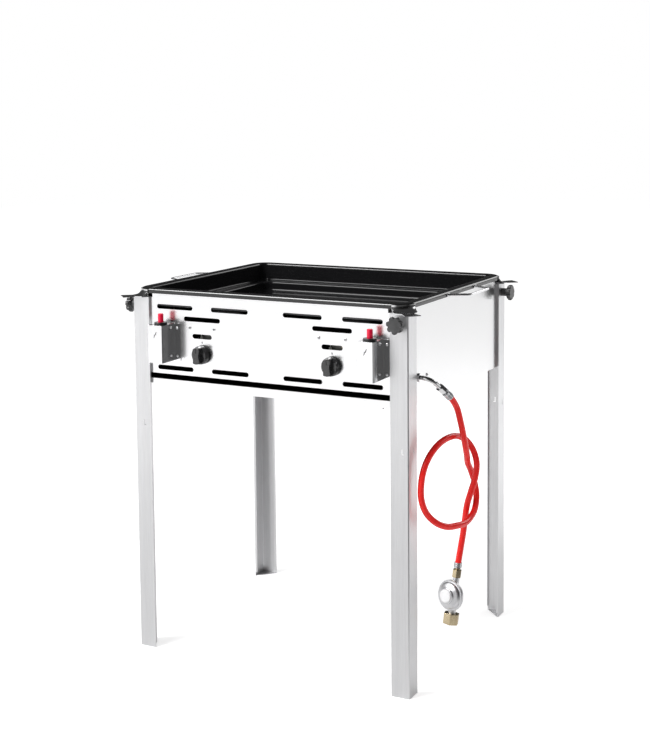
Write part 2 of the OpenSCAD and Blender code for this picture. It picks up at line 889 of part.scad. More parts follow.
module valve_spindle(s) {
    length = core_front + core_l - knob_push - 1 - (front_y - knob_gap - knob_l * 0.55);
    color("silver")
        translate([s * burner_x, front_y - knob_gap - knob_l * 0.55, knob_z]) rotate([-90, 0, 0])
            linear_extrude(length)
                rotate(180) flatted(spindle_d, spindle_flat * spindle_d / 4);
}

module valve_knob(s) {
    skirt = knob_l * 0.46;
    grip = 15;
    color("dimgray")
        translate([s * burner_x, front_y - knob_gap, knob_z]) rotate([90, 0, 0])
            difference() {
                union() {
                    cylinder(d1 = knob_d, d2 = knob_d - 1.5, h = skirt - 2, $fn = 64);
                    translate([0, 0, skirt - 2])
                        cylinder(d1 = knob_d - 1.5, d2 = knob_d - 7, h = 3, $fn = 64);
                    intersection() {
                        translate([-grip / 2, -knob_d / 2, skirt - 3])
                            cube([grip, knob_d, knob_l - skirt + 3]);
                        cylinder(d1 = knob_d, d2 = knob_d - 6, h = knob_l, $fn = 64);
                    }
                }
                for (m = [0, 1])
                    mirror([m, 0, 0])
                        translate([grip / 2 + 26, 0, skirt + 1])
                            cylinder(r = 27.5, h = knob_l, $fn = 64);
                translate([-0.8, 6, knob_l - 1]) cube([1.6, knob_d, 2]);
                translate([0, 0, -eps])
                    linear_extrude(knob_l * 0.55 + eps)
                        flatted(spindle_d + 0.04, spindle_flat * spindle_d / 4);
            }
}

module thermocouples() {
    color("goldenrod")
        both_sides() {
            rod(probe_d, [sensor_dx, sensor_y, knob_z + 2], sight_low + 8, "z");
            rod(probe_d + 5, [sensor_dx, sensor_y, burner_z - sheet - 2], 2, "z");
            tube_along([
                [sensor_dx, sensor_y, knob_z + 2], [sensor_dx + 1, sensor_y, knob_z - 8],
                [sensor_dx + 4, sensor_y + 6, knob_z - 14], [sensor_dx + 8, sensor_y + 14, knob_z - 10],
                [sensor_dx + 7, manifold_y - 12, knob_z - 2], [sensor_dx - 1, manifold_y - 12, knob_z]
            ], tip_d, lead_sides, [0, 0, -1], [-1, 0, 0]);
        }
}

module spark_electrodes() {
    color("ivory")
        both_sides() {
            rod(probe_d, [-sensor_dx, sensor_y, knob_z], sight_low - 4, "z");
            rod(probe_d + 5, [-sensor_dx, sensor_y, burner_z - sheet - 2], 2, "z");
            rod(tip_d, [-sensor_dx, sensor_y, knob_z + sight_low - 4], 10, "z");
        }
}

module spark_lead(side) {
    x0 = igniter_x[side];
    x1 = (side == 0 ? -burner_x : burner_x) - sensor_dx;
    color("black")
        tube_along([
            [x0, igniter_y, cover_top - cover_t - body_l],
            [x0, igniter_y, lead_hole_z + 8],
            [x0, igniter_y + 6, lead_hole_z + 1],
            [x0, front_y - 6, lead_hole_z],
            [x0, front_y + 6, lead_hole_z],
            [x0 + (x1 - x0) * 0.15, front_y + 18, lead_hole_z - 6],
            [x0 + (x1 - x0) * 0.5, front_y + 22, manifold_z - 3],
            [x0 + (x1 - x0) * 0.85, front_y + 22, manifold_z - 3],
            [x1, front_y + 20, knob_z - 12],
            [x1, sensor_y, knob_z]
        ], lead_d, lead_sides, [0, 0, -1], [0, 0, 1]);
}

// ---------------------------------------------------------------- igniters
module cover_outline() {
    translate([-cover_w / 2, 0]) square([cover_w, cover_d - bend_r]);
    translate([-cover_w / 2 + bend_r, 0]) square([cover_w - 2 * bend_r, cover_d]);
    for (s = [-1, 1])
        translate([s * (cover_w / 2 - bend_r), cover_d - bend_r]) circle(r = bend_r, $fn = 48);
}

module igniter_cover(side) {
    inner_w = cover_w - 2 * cover_t;
    color("whitesmoke")
        translate([igniter_x[side], front_y, cover_z]) mirror([0, 1, 0])
            difference() {
                union() {
                    linear_extrude(cover_h) cover_outline();
                    translate([-cover_w / 2 - cover_flange, 0, 0])
                        cube([cover_w + 2 * cover_flange, cover_t, cover_h]);
                }
                translate([-inner_w / 2, -eps, -eps])
                    cube([inner_w, cover_d - cover_t + eps, cover_h - cover_t + eps]);
                rod(neck_d + 2 * loose, [0, cover_d / 2, cover_h - cover_t - eps],
                    cover_t + 2 * eps, "z");
            }
}

module igniter_body(side) {
    under = cover_top - cover_t;
    color("dimgray")
        translate([igniter_x[side], igniter_y, 0])
            difference() {
                union() {
                    rod(body_d, [0, 0, under - body_l], body_l, "z");
                    rod(neck_d, [0, 0, under - eps], eps + cover_t + collar_h, "z");
                }
                rod(button_d + 2 * running, [0, 0, cover_top - button_stay - button_push],
                    button_stay + button_push + collar_h + eps, "z");
            }
}

module collar_nut(side) {
    color("black")
        translate([igniter_x[side], igniter_y, cover_top])
            difference() {
                union() {
                    cylinder(d = collar_d, h = collar_h - 1, $fn = 48);
                    translate([0, 0, collar_h - 1])
                        cylinder(d1 = collar_d, d2 = collar_d - 2, h = 1, $fn = 48);
                }
                translate([0, 0, -eps])
                    cylinder(d = neck_d + 0.04, h = collar_h + 2 * eps, $fn = 48);
            }
}

module igniter_button(side) {
    base = cover_top - button_stay + 1;
    top = cover_top + collar_h + button_rise;
    color("crimson")
        translate([igniter_x[side], igniter_y, 0]) {
            rod(button_d, [0, 0, base], top - 1 - base, "z");
            translate([0, 0, top - 1])
                cylinder(d1 = button_d, d2 = button_d - 2, h = 1, $fn = 48);
        }
}

module cover_rivets() {
    color("silver")
        for (x = igniter_x, s = [-1, 1], z = [rivet_in, cover_h - rivet_in])
            translate([x + s * (cover_w + cover_flange) / 2, front_y - cover_t, cover_z + z])
                rotate([90, 0, 0]) {
                    cylinder(d1 = rivet_d, d2 = rivet_d - 1, h = rivet_h / 2, $fn = 32);
                    translate([0, 0, rivet_h / 2])
                        cylinder(d1 = rivet_d - 1, d2 = rivet_d / 2, h = rivet_h / 2, $fn = 32);
                }
}

module pan_head_screw(length) {
    cylinder(d1 = 7, d2 = 5, h = 2, $fn = 32);
    translate([0, 0, -length]) cylinder(d = 3.6, h = length + eps, $fn = 24);
}

module panel_screws() {
    color("silver") {
        both_sides()
            for (dx = [-screw_dx, screw_dx])
                translate([dx, front_y, screw_z]) rotate([90, 0, 0]) pan_head_screw(5);
        translate([side_x, strap_screw_y, strap_screw_z]) rotate([0, 90, 0]) pan_head_screw(6);
    }
}

// ---------------------------------------------------------------- inlet, hose, regulator
module elbow_frame() {
    translate(elbow_start) rotate([-elbow_roll, 0, 0]) children();
}

module elbow_end_frame() {
    elbow_frame()
        translate([elbow_run + elbow_r * sin(elbow_turn), elbow_r * (1 - cos(elbow_turn)), 0])
            rotate([0, 0, elbow_turn]) rotate([0, 90, 0]) children();
}

module inlet_elbow() {
    color("silver") {
        elbow_frame() {
            rod(elbow_d, [0, 0, 0], elbow_run, "x");
            translate([elbow_run, elbow_r, 0]) rotate([0, 0, -90])
                rotate_extrude(angle = elbow_turn, $fn = 72)
                    translate([elbow_r, 0]) circle(d = elbow_d, $fn = 32);
            rod(manifold_d + 2, [0, 0, 0], 5, "x");
        }
        elbow_end_frame()
            translate([0, 0, -eps]) cylinder(d = elbow_d + 1, h = elbow_tail + eps, $fn = 32);
    }
}

module inlet_nut() {
    color("silver")
        elbow_end_frame()
            translate([0, 0, elbow_tail])
                hexagon(inlet_nut_af, [0, 0, 0], inlet_nut_l);
}

module hose_tail() {
    color("silver")
        elbow_end_frame()
            translate([0, 0, elbow_tail + inlet_nut_l]) {
                cylinder(d = elbow_d, h = 6, $fn = 32);
                translate([0, 0, 5]) cylinder(d = ferrule_d, h = tail_l - 5, $fn = 32);
            }
}

module gas_hose() {
    last = [cos(reg_tilt) * sin(reg_lean), -sin(reg_tilt), cos(reg_tilt) * cos(reg_lean)];
    color("red") tube_along(hose_route, hose_d, hose_sides, hose_heading, last);
}

module reg_frame() {
    translate(hose_end) rotate([reg_tilt, reg_lean, 0]) rotate([0, 0, reg_turn]) children();
}

module hose_ferrule() {
    color("silver")
        reg_frame() {
            cylinder(d = ferrule_d, h = ferrule_l - 3, $fn = 32);
            translate([0, 0, ferrule_l - 3])
                cylinder(d1 = ferrule_d, d2 = ferrule_d - 4, h = 3, $fn = 32);
        }
}

module regulator_nut() {
    color("gold")
        reg_frame() {
            rod(10, [0, 0, ferrule_l], 2, "z");
            hexagon(reg_nut_af, [0, 0, ferrule_l + 2], reg_nut_l);
        }
}

// dished halves about an axis square to the hose
module reg_half_turn(side) {
    translate([0, face_shift, reg_drop]) rotate([side * -90, 0, 0])
        rotate_extrude($fn = 72) children();
}

module regulator_body() {
    inlet_end = ferrule_l + 2 + reg_nut_l;
    color("lightgray")
        reg_frame() {
            reg_half_turn(-1)
                polygon([
                    [0, 0], [reg_d / 2, 0], [reg_d / 2, 3], [reg_d / 2 - 4, 4],
                    [reg_d / 2 - 12, reg_half - 3], [reg_d / 4, reg_half], [0, reg_half]
                ]);
            rod(boss_d, [0, 0, inlet_end], reg_drop - inlet_end, "z");
            rod(spigot_d, [0, 0, reg_drop], outlet_start + nut_web - 1 - reg_drop, "z");
            rod(cyl_thread_d - 2, [0, 0, outlet_start + collar_pocket + knob_clear], 2, "z");
        }
}

module regulator_bonnet() {
    color("lightgray")
        reg_frame()
            reg_half_turn(1) {
                polygon([
                    [0, 0], [reg_d / 2, 0], [reg_d / 2, 3], [reg_d / 2 - 4, 4],
                    [reg_d / 2 - 10, reg_half - 3], [cap_d / 2 + 2, reg_half + 1],
                    [cap_d / 2 + 2, reg_half + 3], [0, reg_half + 3]
                ]);
                translate([0, reg_half + 3]) square([cap_d / 2, 3]);
            }
}

module cylinder_nut() {
    color("gold")
        reg_frame()
            translate([0, 0, outlet_start])
                difference() {
                    hexagon(cyl_nut_af, [0, 0, 0], cyl_nut_l);
                    translate([0, 0, -eps])
                        cylinder(d = spigot_d + 2 * running, h = nut_web + 2 * eps, $fn = 48);
                    translate([0, 0, collar_pocket])
                        cylinder(d = cyl_thread_d - 1, h = nut_web, $fn = 48);
                    translate([0, 0, nut_web])
                        cylinder(d = cyl_thread_d, h = cyl_nut_l, $fn = 64);
                }
}

leg(0);  // leg_front_left
leg(1);  // leg_front_right
leg(2);  // leg_back_right
leg(3);  // leg_back_left
foot_plates();
side_panel(-1);  // side_panel_left
side_panel(1);  // side_panel_right
back_panel();
front_panel();
bottom_tray();
corner_supports();
clamp_studs();
star_knob(0);  // star_knob_front_left
star_knob(1);  // star_knob_front_right
star_knob(2);  // star_knob_back_right
star_knob(3);  // star_knob_back_left
roasting_pan();
pan_handle(-1);  // pan_handle_left
pan_handle(1);  // pan_handle_right
pan_handle_lugs();
burner(-1);  // burner_left
burner(1);  // burner_right
burner_bracket(-1);  // burner_bracket_left
burner_bracket(1);  // burner_bracket_right
burner_rear_rail();
gas_manifold();
manifold_strap();
manifold_plug();
valve_body(-1);  // valve_body_left
valve_body(1);  // valve_body_right
injectors();
valve_core(-1);  // valve_core_left
valve_core(1);  // valve_core_right
valve_spindle(-1);  // valve_spindle_left
valve_spindle(1);  // valve_spindle_right
valve_knob(-1);  // valve_knob_left
valve_knob(1);  // valve_knob_right
thermocouples();
spark_electrodes();
spark_lead(0);  // spark_lead_left
spark_lead(1);  // spark_lead_right
igniter_cover(0);  // igniter_cover_left
igniter_cover(1);  // igniter_cover_right
igniter_body(0);  // igniter_body_left
igniter_body(1);  // igniter_body_right
collar_nut(0);  // collar_nut_left
collar_nut(1);  // collar_nut_right
igniter_button(0);  // igniter_button_left
igniter_button(1);  // igniter_button_right
cover_rivets();
panel_screws();
inlet_elbow();
inlet_nut();
hose_tail();
gas_hose();
hose_ferrule();
regulator_nut();
regulator_body();
regulator_bonnet();
cylinder_nut();
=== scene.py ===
"""Looks of a free-standing gas frying stand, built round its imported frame.

Lengths are metres in the frame's own axes: +Z is up and the front, with its knobs, faces -Y.
"""

import logging
import math
from dataclasses import dataclass
from enum import Enum
from typing import Sequence

import bmesh
import bpy
from mathutils import Matrix, Vector


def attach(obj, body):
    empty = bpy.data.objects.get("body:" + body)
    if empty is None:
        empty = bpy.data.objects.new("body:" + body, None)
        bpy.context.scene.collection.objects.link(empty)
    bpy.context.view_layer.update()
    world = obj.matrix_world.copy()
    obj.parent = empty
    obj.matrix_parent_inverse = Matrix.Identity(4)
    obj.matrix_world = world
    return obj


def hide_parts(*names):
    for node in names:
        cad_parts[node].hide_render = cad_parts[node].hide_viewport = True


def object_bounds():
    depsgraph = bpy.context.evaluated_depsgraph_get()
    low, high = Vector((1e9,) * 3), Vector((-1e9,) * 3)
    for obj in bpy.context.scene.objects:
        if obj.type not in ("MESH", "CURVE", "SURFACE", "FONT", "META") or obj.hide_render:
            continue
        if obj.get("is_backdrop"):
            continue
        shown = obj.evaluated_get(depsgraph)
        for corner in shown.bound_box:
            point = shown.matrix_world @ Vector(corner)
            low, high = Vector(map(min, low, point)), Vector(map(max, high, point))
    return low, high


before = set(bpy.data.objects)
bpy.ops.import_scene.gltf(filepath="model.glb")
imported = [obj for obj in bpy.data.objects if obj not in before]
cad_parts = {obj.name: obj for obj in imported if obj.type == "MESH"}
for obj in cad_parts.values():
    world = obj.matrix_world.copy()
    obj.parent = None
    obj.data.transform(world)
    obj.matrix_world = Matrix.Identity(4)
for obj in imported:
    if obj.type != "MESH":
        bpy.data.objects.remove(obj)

Point = tuple[float, float, float]
Colour = tuple[float, float, float]
Pair = tuple[float, float]
Socket = bpy.types.NodeSocket
Tree = bpy.types.NodeTree
Mesh = bpy.types.Mesh
Piece = bpy.types.Object
Names = Sequence[str]

LOG = logging.getLogger("frying_stand")
STAND = "stand"
MM = 0.001
CASING_HALF = (318.75 * MM, 263.75 * MM)
RIM_HALF = (300.75 * MM, 245.75 * MM)
PANEL_FACE = -264 * MM
COVER_X = (-243 * MM, 250 * MM)
KNOB_X = (-154.5 * MM, 154.5 * MM)
# Tone and roughness of panel faces inside the casing: painted shade, partly soot.
SOOT_AND_SHADE = (0.045, 0.043, 0.041)
SOOT_AND_SHADE_ROUGH = 0.45
WHITE = (1.0, 1.0, 1.0, 1.0)
PLATED = ((0.86, 0.86, 0.87), (0.7, 0.7, 0.71))


# ------ nodes
def wired(
    tree: Tree, kind: str, inputs: dict[str | int, object], output: str, **settings: object
) -> Socket:
    """Adds a node to a tree.

    Args:
        tree: The tree.
        kind: The node's type.
        inputs: For each input a value, or what another node gives.
        output: The output that is given back.
        settings: The node's own settings, set before its inputs.

    Returns:
        The output.
    """
    node = tree.nodes.new(kind)
    for name, value in settings.items():
        setattr(node, name, value)
    for name, value in inputs.items():
        if isinstance(value, Socket):
            tree.links.new(value, node.inputs[name])
        else:
            node.inputs[name].default_value = value
    return node.outputs[output]


def reckon(tree: Tree, operation: str, *values: object) -> Socket:
    """Adds a maths node over some values."""
    return wired(tree, "ShaderNodeMath", dict(enumerate(values)), "Value", operation=operation)


def steer(tree: Tree, operation: str, *values: object, output: str = "Vector") -> Socket:
    """Adds a vector maths node over some values."""
    return wired(tree, "ShaderNodeVectorMath", dict(enumerate(values)), output, operation=operation)


def ramp(tree: Tree, source: Socket, edge: Pair, levels: Pair, kind: str = "SMOOTHSTEP") -> Socket:
    """Takes a value from the first level to the second, from one edge to the other."""
    ends = {"From Min": edge[0], "From Max": edge[1], "To Min": levels[0], "To Max": levels[1]}
    return wired(tree, "ShaderNodeMapRange", {"Value": source, **ends}, "Result", interpolation_type=kind)


# ------ materials
class Recipe:
    """A material in the making: its shader and the nodes that feed it."""

    def __init__(self, name: str) -> None:
        """Starts a material with a principled shader.

        Args:
            name: The material's name.
        """
        self.material = bpy.data.materials.new(name)
        self.material.use_nodes = True
        self.tree = self.material.node_tree
        self.shader = self.tree.nodes["Principled BSDF"]

    def constant(self, socket: str, value: object) -> None:
        """Sets one of the shader's own sockets."""
        self.shader.inputs[socket].default_value = value

    def feed(self, source: Socket, socket: str) -> None:
        """Links an output to one of the shader's sockets."""
        self.tree.links.new(source, self.shader.inputs[socket])

    def where(self, kind: str = "Object") -> Socket:
        """Gives the piece's object coordinates, or its own UV map."""
        return self.tree.nodes.new("ShaderNodeTexCoord").outputs[kind]

    def place(self, stretch: Point = (1.0, 1.0, 1.0), kind: str = "Object") -> Socket:
        """Gives stretched coordinates; a small factor draws the pattern out."""
        inputs = {"Vector": self.where(kind), "Scale": stretch}
        return wired(self.tree, "ShaderNodeMapping", inputs, "Vector")

    def noise(self, vector: Socket, scale: float, detail: float = 4.0, rough: float = 0.55) -> Socket:
        """Adds a noise texture and gives its grey."""
        inputs = {"Vector": vector, "Scale": scale, "Detail": detail, "Roughness": rough}
        return wired(self.tree, "ShaderNodeTexNoise", inputs, "Fac")

    def spread(
        self, grey: Socket, low: float = 0.0, high: float = 1.0, start: float = 0.3, end: float = 0.7
    ) -> Socket:
        """Maps a grey from start and end to low and high."""
        return ramp(self.tree, grey, (start, end), (low, high), "LINEAR")

    def blend(self, share: Socket, first: Colour | Socket, second: Colour) -> Socket:
        """Blends two colours.

        Args:
            share: Share of the second.
            first: The first, or what another node gives.
            second: The second.

        Returns:
            The colour.
        """
        start = first if isinstance(first, Socket) else (*first, 1.0)
        inputs = {"Factor": share, "A": start, "B": (*second, 1.0)}
        return wired(self.tree, "ShaderNodeMix", inputs, "Result", data_type="RGBA")

    def mixed(self, first: object, second: object, share: object = 0.5) -> Socket:
        """Mixes two greys by a share of the second; each is a number or what a node gives."""
        return wired(self.tree, "ShaderNodeMix", {"A": first, "B": second, "Factor": share}, "Result")

    def along(self, axis: str) -> Socket:
        """Gives one of the object coordinates."""
        return wired(self.tree, "ShaderNodeSeparateXYZ", {"Vector": self.where()}, axis)

    def inside(self, halves: Pair) -> Socket:
        """Tells the middle of the object from what is round it.

        Args:
            halves: Half the width and half the depth of the middle.

        Returns:
            1 in the middle, 0 outside it.
        """
        sizes = [reckon(self.tree, "ABSOLUTE", self.along(axis)) for axis in "XY"]
        shares = [reckon(self.tree, "LESS_THAN", size, half) for size, half in zip(sizes, halves)]
        return reckon(self.tree, "MULTIPLY", *shares)

    def relief(self, height: Socket, depth: float, strength: float) -> None:
        """Raises the surface by a grey, where depth is a full step in metres."""
        inputs = {"Height": height, "Distance": depth, "Strength": strength}
        self.feed(wired(self.tree, "ShaderNodeBump", inputs, "Normal"), "Normal")


class Grain(Enum):
    """Direction in which sheet metal was brushed, as a stretch along each axis."""

    ALONG_X = (0.02, 1.0, 1.0)
    ALONG_Z = (1.0, 1.0, 0.02)
    NONE = (1.0, 1.0, 1.0)


class Finish:
    """A surface that is made once and shared by its pieces."""

    name: str
    _made: dict[str, bpy.types.Material] = {}

    def material(self) -> bpy.types.Material:
        """Makes the finish's material on first use.

        Returns:
            The material.
        """
        if self.name not in Finish._made:
            recipe = Recipe(self.name)
            self.mix(recipe)
            Finish._made[self.name] = recipe.material
        return Finish._made[self.name]

    def mix(self, recipe: Recipe) -> None:
        """Fills the recipe; each kind of finish has its own."""
        raise NotImplementedError


@dataclass(frozen=True)
class SheetSteel(Finish):
    """Stainless sheet with its rolling or brushing lines, faint smudges and soft waves."""

    name: str
    light: Colour
    dark: Colour
    smooth: float
    rough: float
    grain: Grain = Grain.NONE
    depth: float = 2.2e-5
    soot_and_shade_inside: bool = False

    def mix(self, recipe: Recipe) -> None:
        """Streaks tint the metal and roughen it; broad waves bend its reflections.

        Args:
            recipe: Takes the nodes.
        """
        drawn = recipe.place(self.grain.value)
        streaks = recipe.noise(drawn, scale=900.0, detail=5.0, rough=0.6)
        lines = recipe.mixed(streaks, recipe.noise(drawn, scale=120.0, detail=3.0), share=0.4)
        smudges = recipe.noise(recipe.place(), scale=9.0, detail=4.0)
        waves = recipe.noise(recipe.place(), scale=7.0, detail=1.0)
        tone = recipe.blend(recipe.spread(lines), self.dark, self.light)
        shine = recipe.spread(recipe.mixed(lines, smudges), self.smooth, self.rough)
        # Inside the casing outline the sheet goes darker and rougher: painted shade, partly soot.
        if self.soot_and_shade_inside:
            soot_and_shade_mask = recipe.inside(CASING_HALF)
            tone = recipe.blend(soot_and_shade_mask, tone, SOOT_AND_SHADE)
            shine = recipe.mixed(shine, SOOT_AND_SHADE_ROUGH, soot_and_shade_mask)
        recipe.constant("Metallic", 1.0)
        recipe.feed(tone, "Base Color")
        recipe.feed(shine, "Roughness")
        recipe.relief(recipe.mixed(lines, waves), self.depth, strength=0.5)


@dataclass(frozen=True)
class Enamel(Finish):
    """Vitreous enamel: a thick black glass over a grey ground coat that stays bare outside the pan."""

    name: str
    colour: Colour
    speck: Colour
    rough: float
    inner: Pair
    gloss: float = 0.8
    inner_gloss: float = 0.2
    coat: Colour = (0.42, 0.42, 0.43)
    coat_rough: float = 0.45
    coat_top: float = 784 * MM
    film_rough: float = 0.06
    ior: float = 1.5

    def mix(self, recipe: Recipe) -> None:
        """Specks tint it, a fine skin bends its highlights, fat film dulls it inside the rim.

        Args:
            recipe: Takes the nodes.
        """
        where = recipe.place()
        specks = recipe.spread(recipe.noise(where, scale=900.0, detail=2.0), start=0.62, end=0.75)
        film = recipe.noise(where, scale=14.0, detail=4.0)
        fine = recipe.noise(where, scale=160.0, detail=2.0)
        broad = recipe.noise(where, scale=22.0, detail=1.0)
        inner = recipe.inside(self.inner)
        low = reckon(recipe.tree, "LESS_THAN", recipe.along("Z"), self.coat_top)
        bare = reckon(recipe.tree, "MULTIPLY", reckon(recipe.tree, "SUBTRACT", 1.0, inner), low)
        tone = recipe.blend(specks, self.colour, self.speck)
        shine = recipe.spread(film, self.rough, self.rough + self.film_rough)
        recipe.feed(recipe.blend(bare, tone, self.coat), "Base Color")
        recipe.feed(recipe.mixed(shine, self.coat_rough, bare), "Roughness")
        recipe.feed(recipe.spread(inner, self.gloss, self.inner_gloss, 0.0, 1.0), "Specular IOR Level")
        recipe.constant("IOR", self.ior)
        recipe.relief(recipe.mixed(fine, broad), depth=6e-5, strength=0.5)


@dataclass(frozen=True)
class Plastic(Finish):
    """Moulded plastic with a spark-eroded grain and slight colour drift."""

    name: str
    colour: Colour
    drift: Colour
    rough: float
    grain: float = 1400.0
    depth: float = 3e-5
    gloss: float = 0.5

    def mix(self, recipe: Recipe) -> None:
        """Drift tints it, and the mould's grain roughens it.

        Args:
            recipe: Takes the nodes.
        """
        where = recipe.place()
        grain = recipe.noise(where, self.grain, detail=2.0)
        drift = recipe.noise(where, scale=40.0, detail=3.0)
        both = recipe.mixed(grain, drift, share=0.4)
        recipe.constant("Specular IOR Level", self.gloss)
        recipe.feed(recipe.blend(recipe.spread(drift), self.colour, self.drift), "Base Color")
        recipe.feed(recipe.spread(both, low=self.rough - 0.05, high=self.rough + 0.07), "Roughness")
        recipe.relief(grain, self.depth, strength=0.6)


@dataclass(frozen=True)
class HoseRubber(Finish):
    """Extruded rubber hose with drawn lines along it and a satin bloom."""

    name: str
    colour: Colour
    bloom: Colour
    rough: float
    gloss: float = 0.4
    drawn: Point = (60.0, 3.0, 1.0)

    def mix(self, recipe: Recipe) -> None:
        """Lines follow the hose's own length; bloom pales it in patches.

        Args:
            recipe: Takes the nodes.
        """
        lines = recipe.noise(recipe.place(self.drawn, "UV"), scale=1.0, detail=3.0)
        both = recipe.mixed(lines, recipe.noise(recipe.place(), scale=55.0, detail=4.0))
        recipe.constant("Specular IOR Level", self.gloss)
        recipe.feed(recipe.blend(recipe.spread(both), self.colour, self.bloom), "Base Color")
        recipe.feed(recipe.spread(both, low=self.rough - 0.05, high=self.rough + 0.08), "Roughness")
        recipe.relief(lines, depth=4e-5, strength=0.6)


@dataclass(frozen=True)
class CastMetal(Finish):
    """Cast, plated or machined metal with a fine skin and patches of tarnish."""

    name: str
    bright: Colour
    dull: Colour
    smooth: float
    rough: float
    skin: float
    depth: float

    def mix(self, recipe: Recipe) -> None:
        """Tarnish tints it, and its skin scatters light.

        Args:
            recipe: Takes the nodes.
        """
        where = recipe.place()
        skin = recipe.noise(where, self.skin, detail=3.0)
        tarnish = recipe.noise(where, scale=70.0, detail=5.0)
        recipe.constant("Metallic", 1.0)
        recipe.feed(recipe.blend(recipe.spread(tarnish), self.dull, self.bright), "Base Color")
        recipe.feed(recipe.spread(recipe.mixed(skin, tarnish), self.smooth, self.rough), "Roughness")
        recipe.relief(skin, self.depth, strength=0.7)


@dataclass(frozen=True)
class Shop:
    """Every finish of the stand, by what it covers."""

    legs: Finish = SheetSteel(
        "leg_steel", (0.80, 0.80, 0.81), (0.68, 0.68, 0.69), 0.34, 0.48, Grain.ALONG_Z, 1.6e-5
    )
    panels: Finish = SheetSteel(
        "panel_steel", (0.93, 0.93, 0.935), (0.89, 0.89, 0.9), 0.2, 0.26, Grain.ALONG_X, 5e-6, True
    )
    # Side and back panels: the panel steel brushed upright, in a darker tone that is painted shade.
    sides: Finish = SheetSteel(
        "shaded_side_steel", (0.8, 0.8, 0.805), (0.765, 0.765, 0.77), 0.22, 0.27, Grain.ALONG_Z, 5e-6, True
    )
    covers: Finish = SheetSteel(
        "cover_steel", (0.91, 0.91, 0.915), (0.85, 0.85, 0.86), 0.08, 0.16, Grain.ALONG_Z, 1.2e-5
    )
    supports: Finish = SheetSteel(
        "support_steel", (0.84, 0.84, 0.85), (0.74, 0.74, 0.75), 0.1, 0.2, depth=1.2e-5
    )
    # Foot plates in a darker tone than the legs: painted shade at floor level.
    shaded_feet: Finish = SheetSteel("foot_steel", (0.7, 0.7, 0.71), (0.55, 0.55, 0.56), 0.3, 0.45)
    burners: Finish = SheetSteel("burner_steel", (0.45, 0.44, 0.43), (0.25, 0.24, 0.23), 0.35, 0.55)
    enamel: Finish = Enamel("black_enamel", (0.007, 0.007, 0.0075), (0.05, 0.05, 0.052), 0.09, RIM_HALF)
    knobs: Finish = Plastic(
        "black_knob_plastic", (0.014, 0.014, 0.015), (0.026, 0.026, 0.027), 0.2, gloss=0.75
    )
    stars: Finish = Plastic(
        "black_star_plastic", (0.018, 0.018, 0.019), (0.06, 0.06, 0.061), 0.36, 1100.0, 4e-5, 0.75
    )
    collars: Finish = Plastic("black_collar_plastic", (0.012, 0.012, 0.012), (0.02, 0.02, 0.02), 0.28)
    buttons: Finish = Plastic(
        "red_button_plastic", (0.80, 0.004, 0.05), (0.72, 0.004, 0.045), 0.16, 900.0, 5e-6
    )
    marks: Finish = Plastic("mark_paint", (0.12, 0.12, 0.12), (0.2, 0.2, 0.2), 0.5)
    cap: Finish = Plastic("white_cap_plastic", (0.86, 0.86, 0.86), (0.8, 0.8, 0.81), 0.3)
    ceramic: Finish = Plastic("white_ceramic", (0.85, 0.84, 0.8), (0.75, 0.73, 0.68), 0.2)
    leads: Finish = Plastic("lead_rubber", (0.03, 0.03, 0.03), (0.05, 0.05, 0.05), 0.5)
    shade: Finish = Plastic("recess_shade", (0.03, 0.03, 0.03), (0.05, 0.05, 0.05), 0.6)
    hose: Finish = HoseRubber("red_hose_rubber", (0.86, 0.012, 0.010), (0.95, 0.022, 0.018), 0.24)
    chrome: Finish = CastMetal("elbow_chrome", *PLATED, 0.06, 0.14, 900.0, 2e-6)
    zinc: Finish = CastMetal("ferrule_zinc", (0.72, 0.73, 0.74), (0.5, 0.5, 0.52), 0.2, 0.34, 700.0, 1e-5)
    brass: Finish = CastMetal("nut_brass", (0.74, 0.62, 0.42), (0.56, 0.46, 0.29), 0.18, 0.32, 800.0, 1e-5)
    diecast: Finish = CastMetal(
        "regulator_diecast", (0.8, 0.8, 0.81), (0.68, 0.68, 0.7), 0.38, 0.5, 500.0, 3e-5
    )
    wire: Finish = CastMetal("handle_wire", *PLATED, 0.24, 0.3, 300.0, 5e-7)
    fasteners: Finish = CastMetal("fastener_steel", *PLATED, 0.3, 0.42, 900.0, 4e-6)


SHOP = Shop()


# ------ mesh tools
def seated(
    name: str, mesh: Mesh, finish: Finish, body: str, nodes: Names = ()
) -> Piece:
    """Makes a mesh a piece of the object.

    Args:
        name: The piece's name.
        mesh: Its mesh, in place.
        finish: What it is covered with.
        body: The body that it rides on.
        nodes: The nodes that it stands for.

    Returns:
        The new object.
    """
    piece = bpy.data.objects.new(name, mesh)
    bpy.context.scene.collection.objects.link(piece)
    mesh.materials.clear()
    mesh.materials.append(finish.material())
    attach(piece, body)
    if nodes:
        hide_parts(*nodes)
    LOG.info("%s: %d faces on %s", name, len(mesh.polygons), body)
    return piece


def smooth_mesh(shape: bmesh.types.BMesh, name: str, sharp_degrees: float = 35.0) -> Mesh:
    """Turns a bmesh into a mesh that is smooth except across sharp edges.

    Args:
        shape: The shape, which is freed.
        name: The mesh's name.
        sharp_degrees: An edge that turns by more than this stays sharp.

    Returns:
        The mesh.
    """
    bmesh.ops.remove_doubles(shape, verts=shape.verts, dist=1e-6)
    bmesh.ops.recalc_face_normals(shape, faces=shape.faces)
    limit = math.radians(sharp_degrees)
    for face in shape.faces:
        face.smooth = True
    for edge in shape.edges:
        edge.smooth = len(edge.link_faces) == 2 and edge.calc_face_angle(0.0) < limit
    mesh = bpy.data.meshes.new(name)
    shape.to_mesh(mesh)
    shape.free()
    return mesh


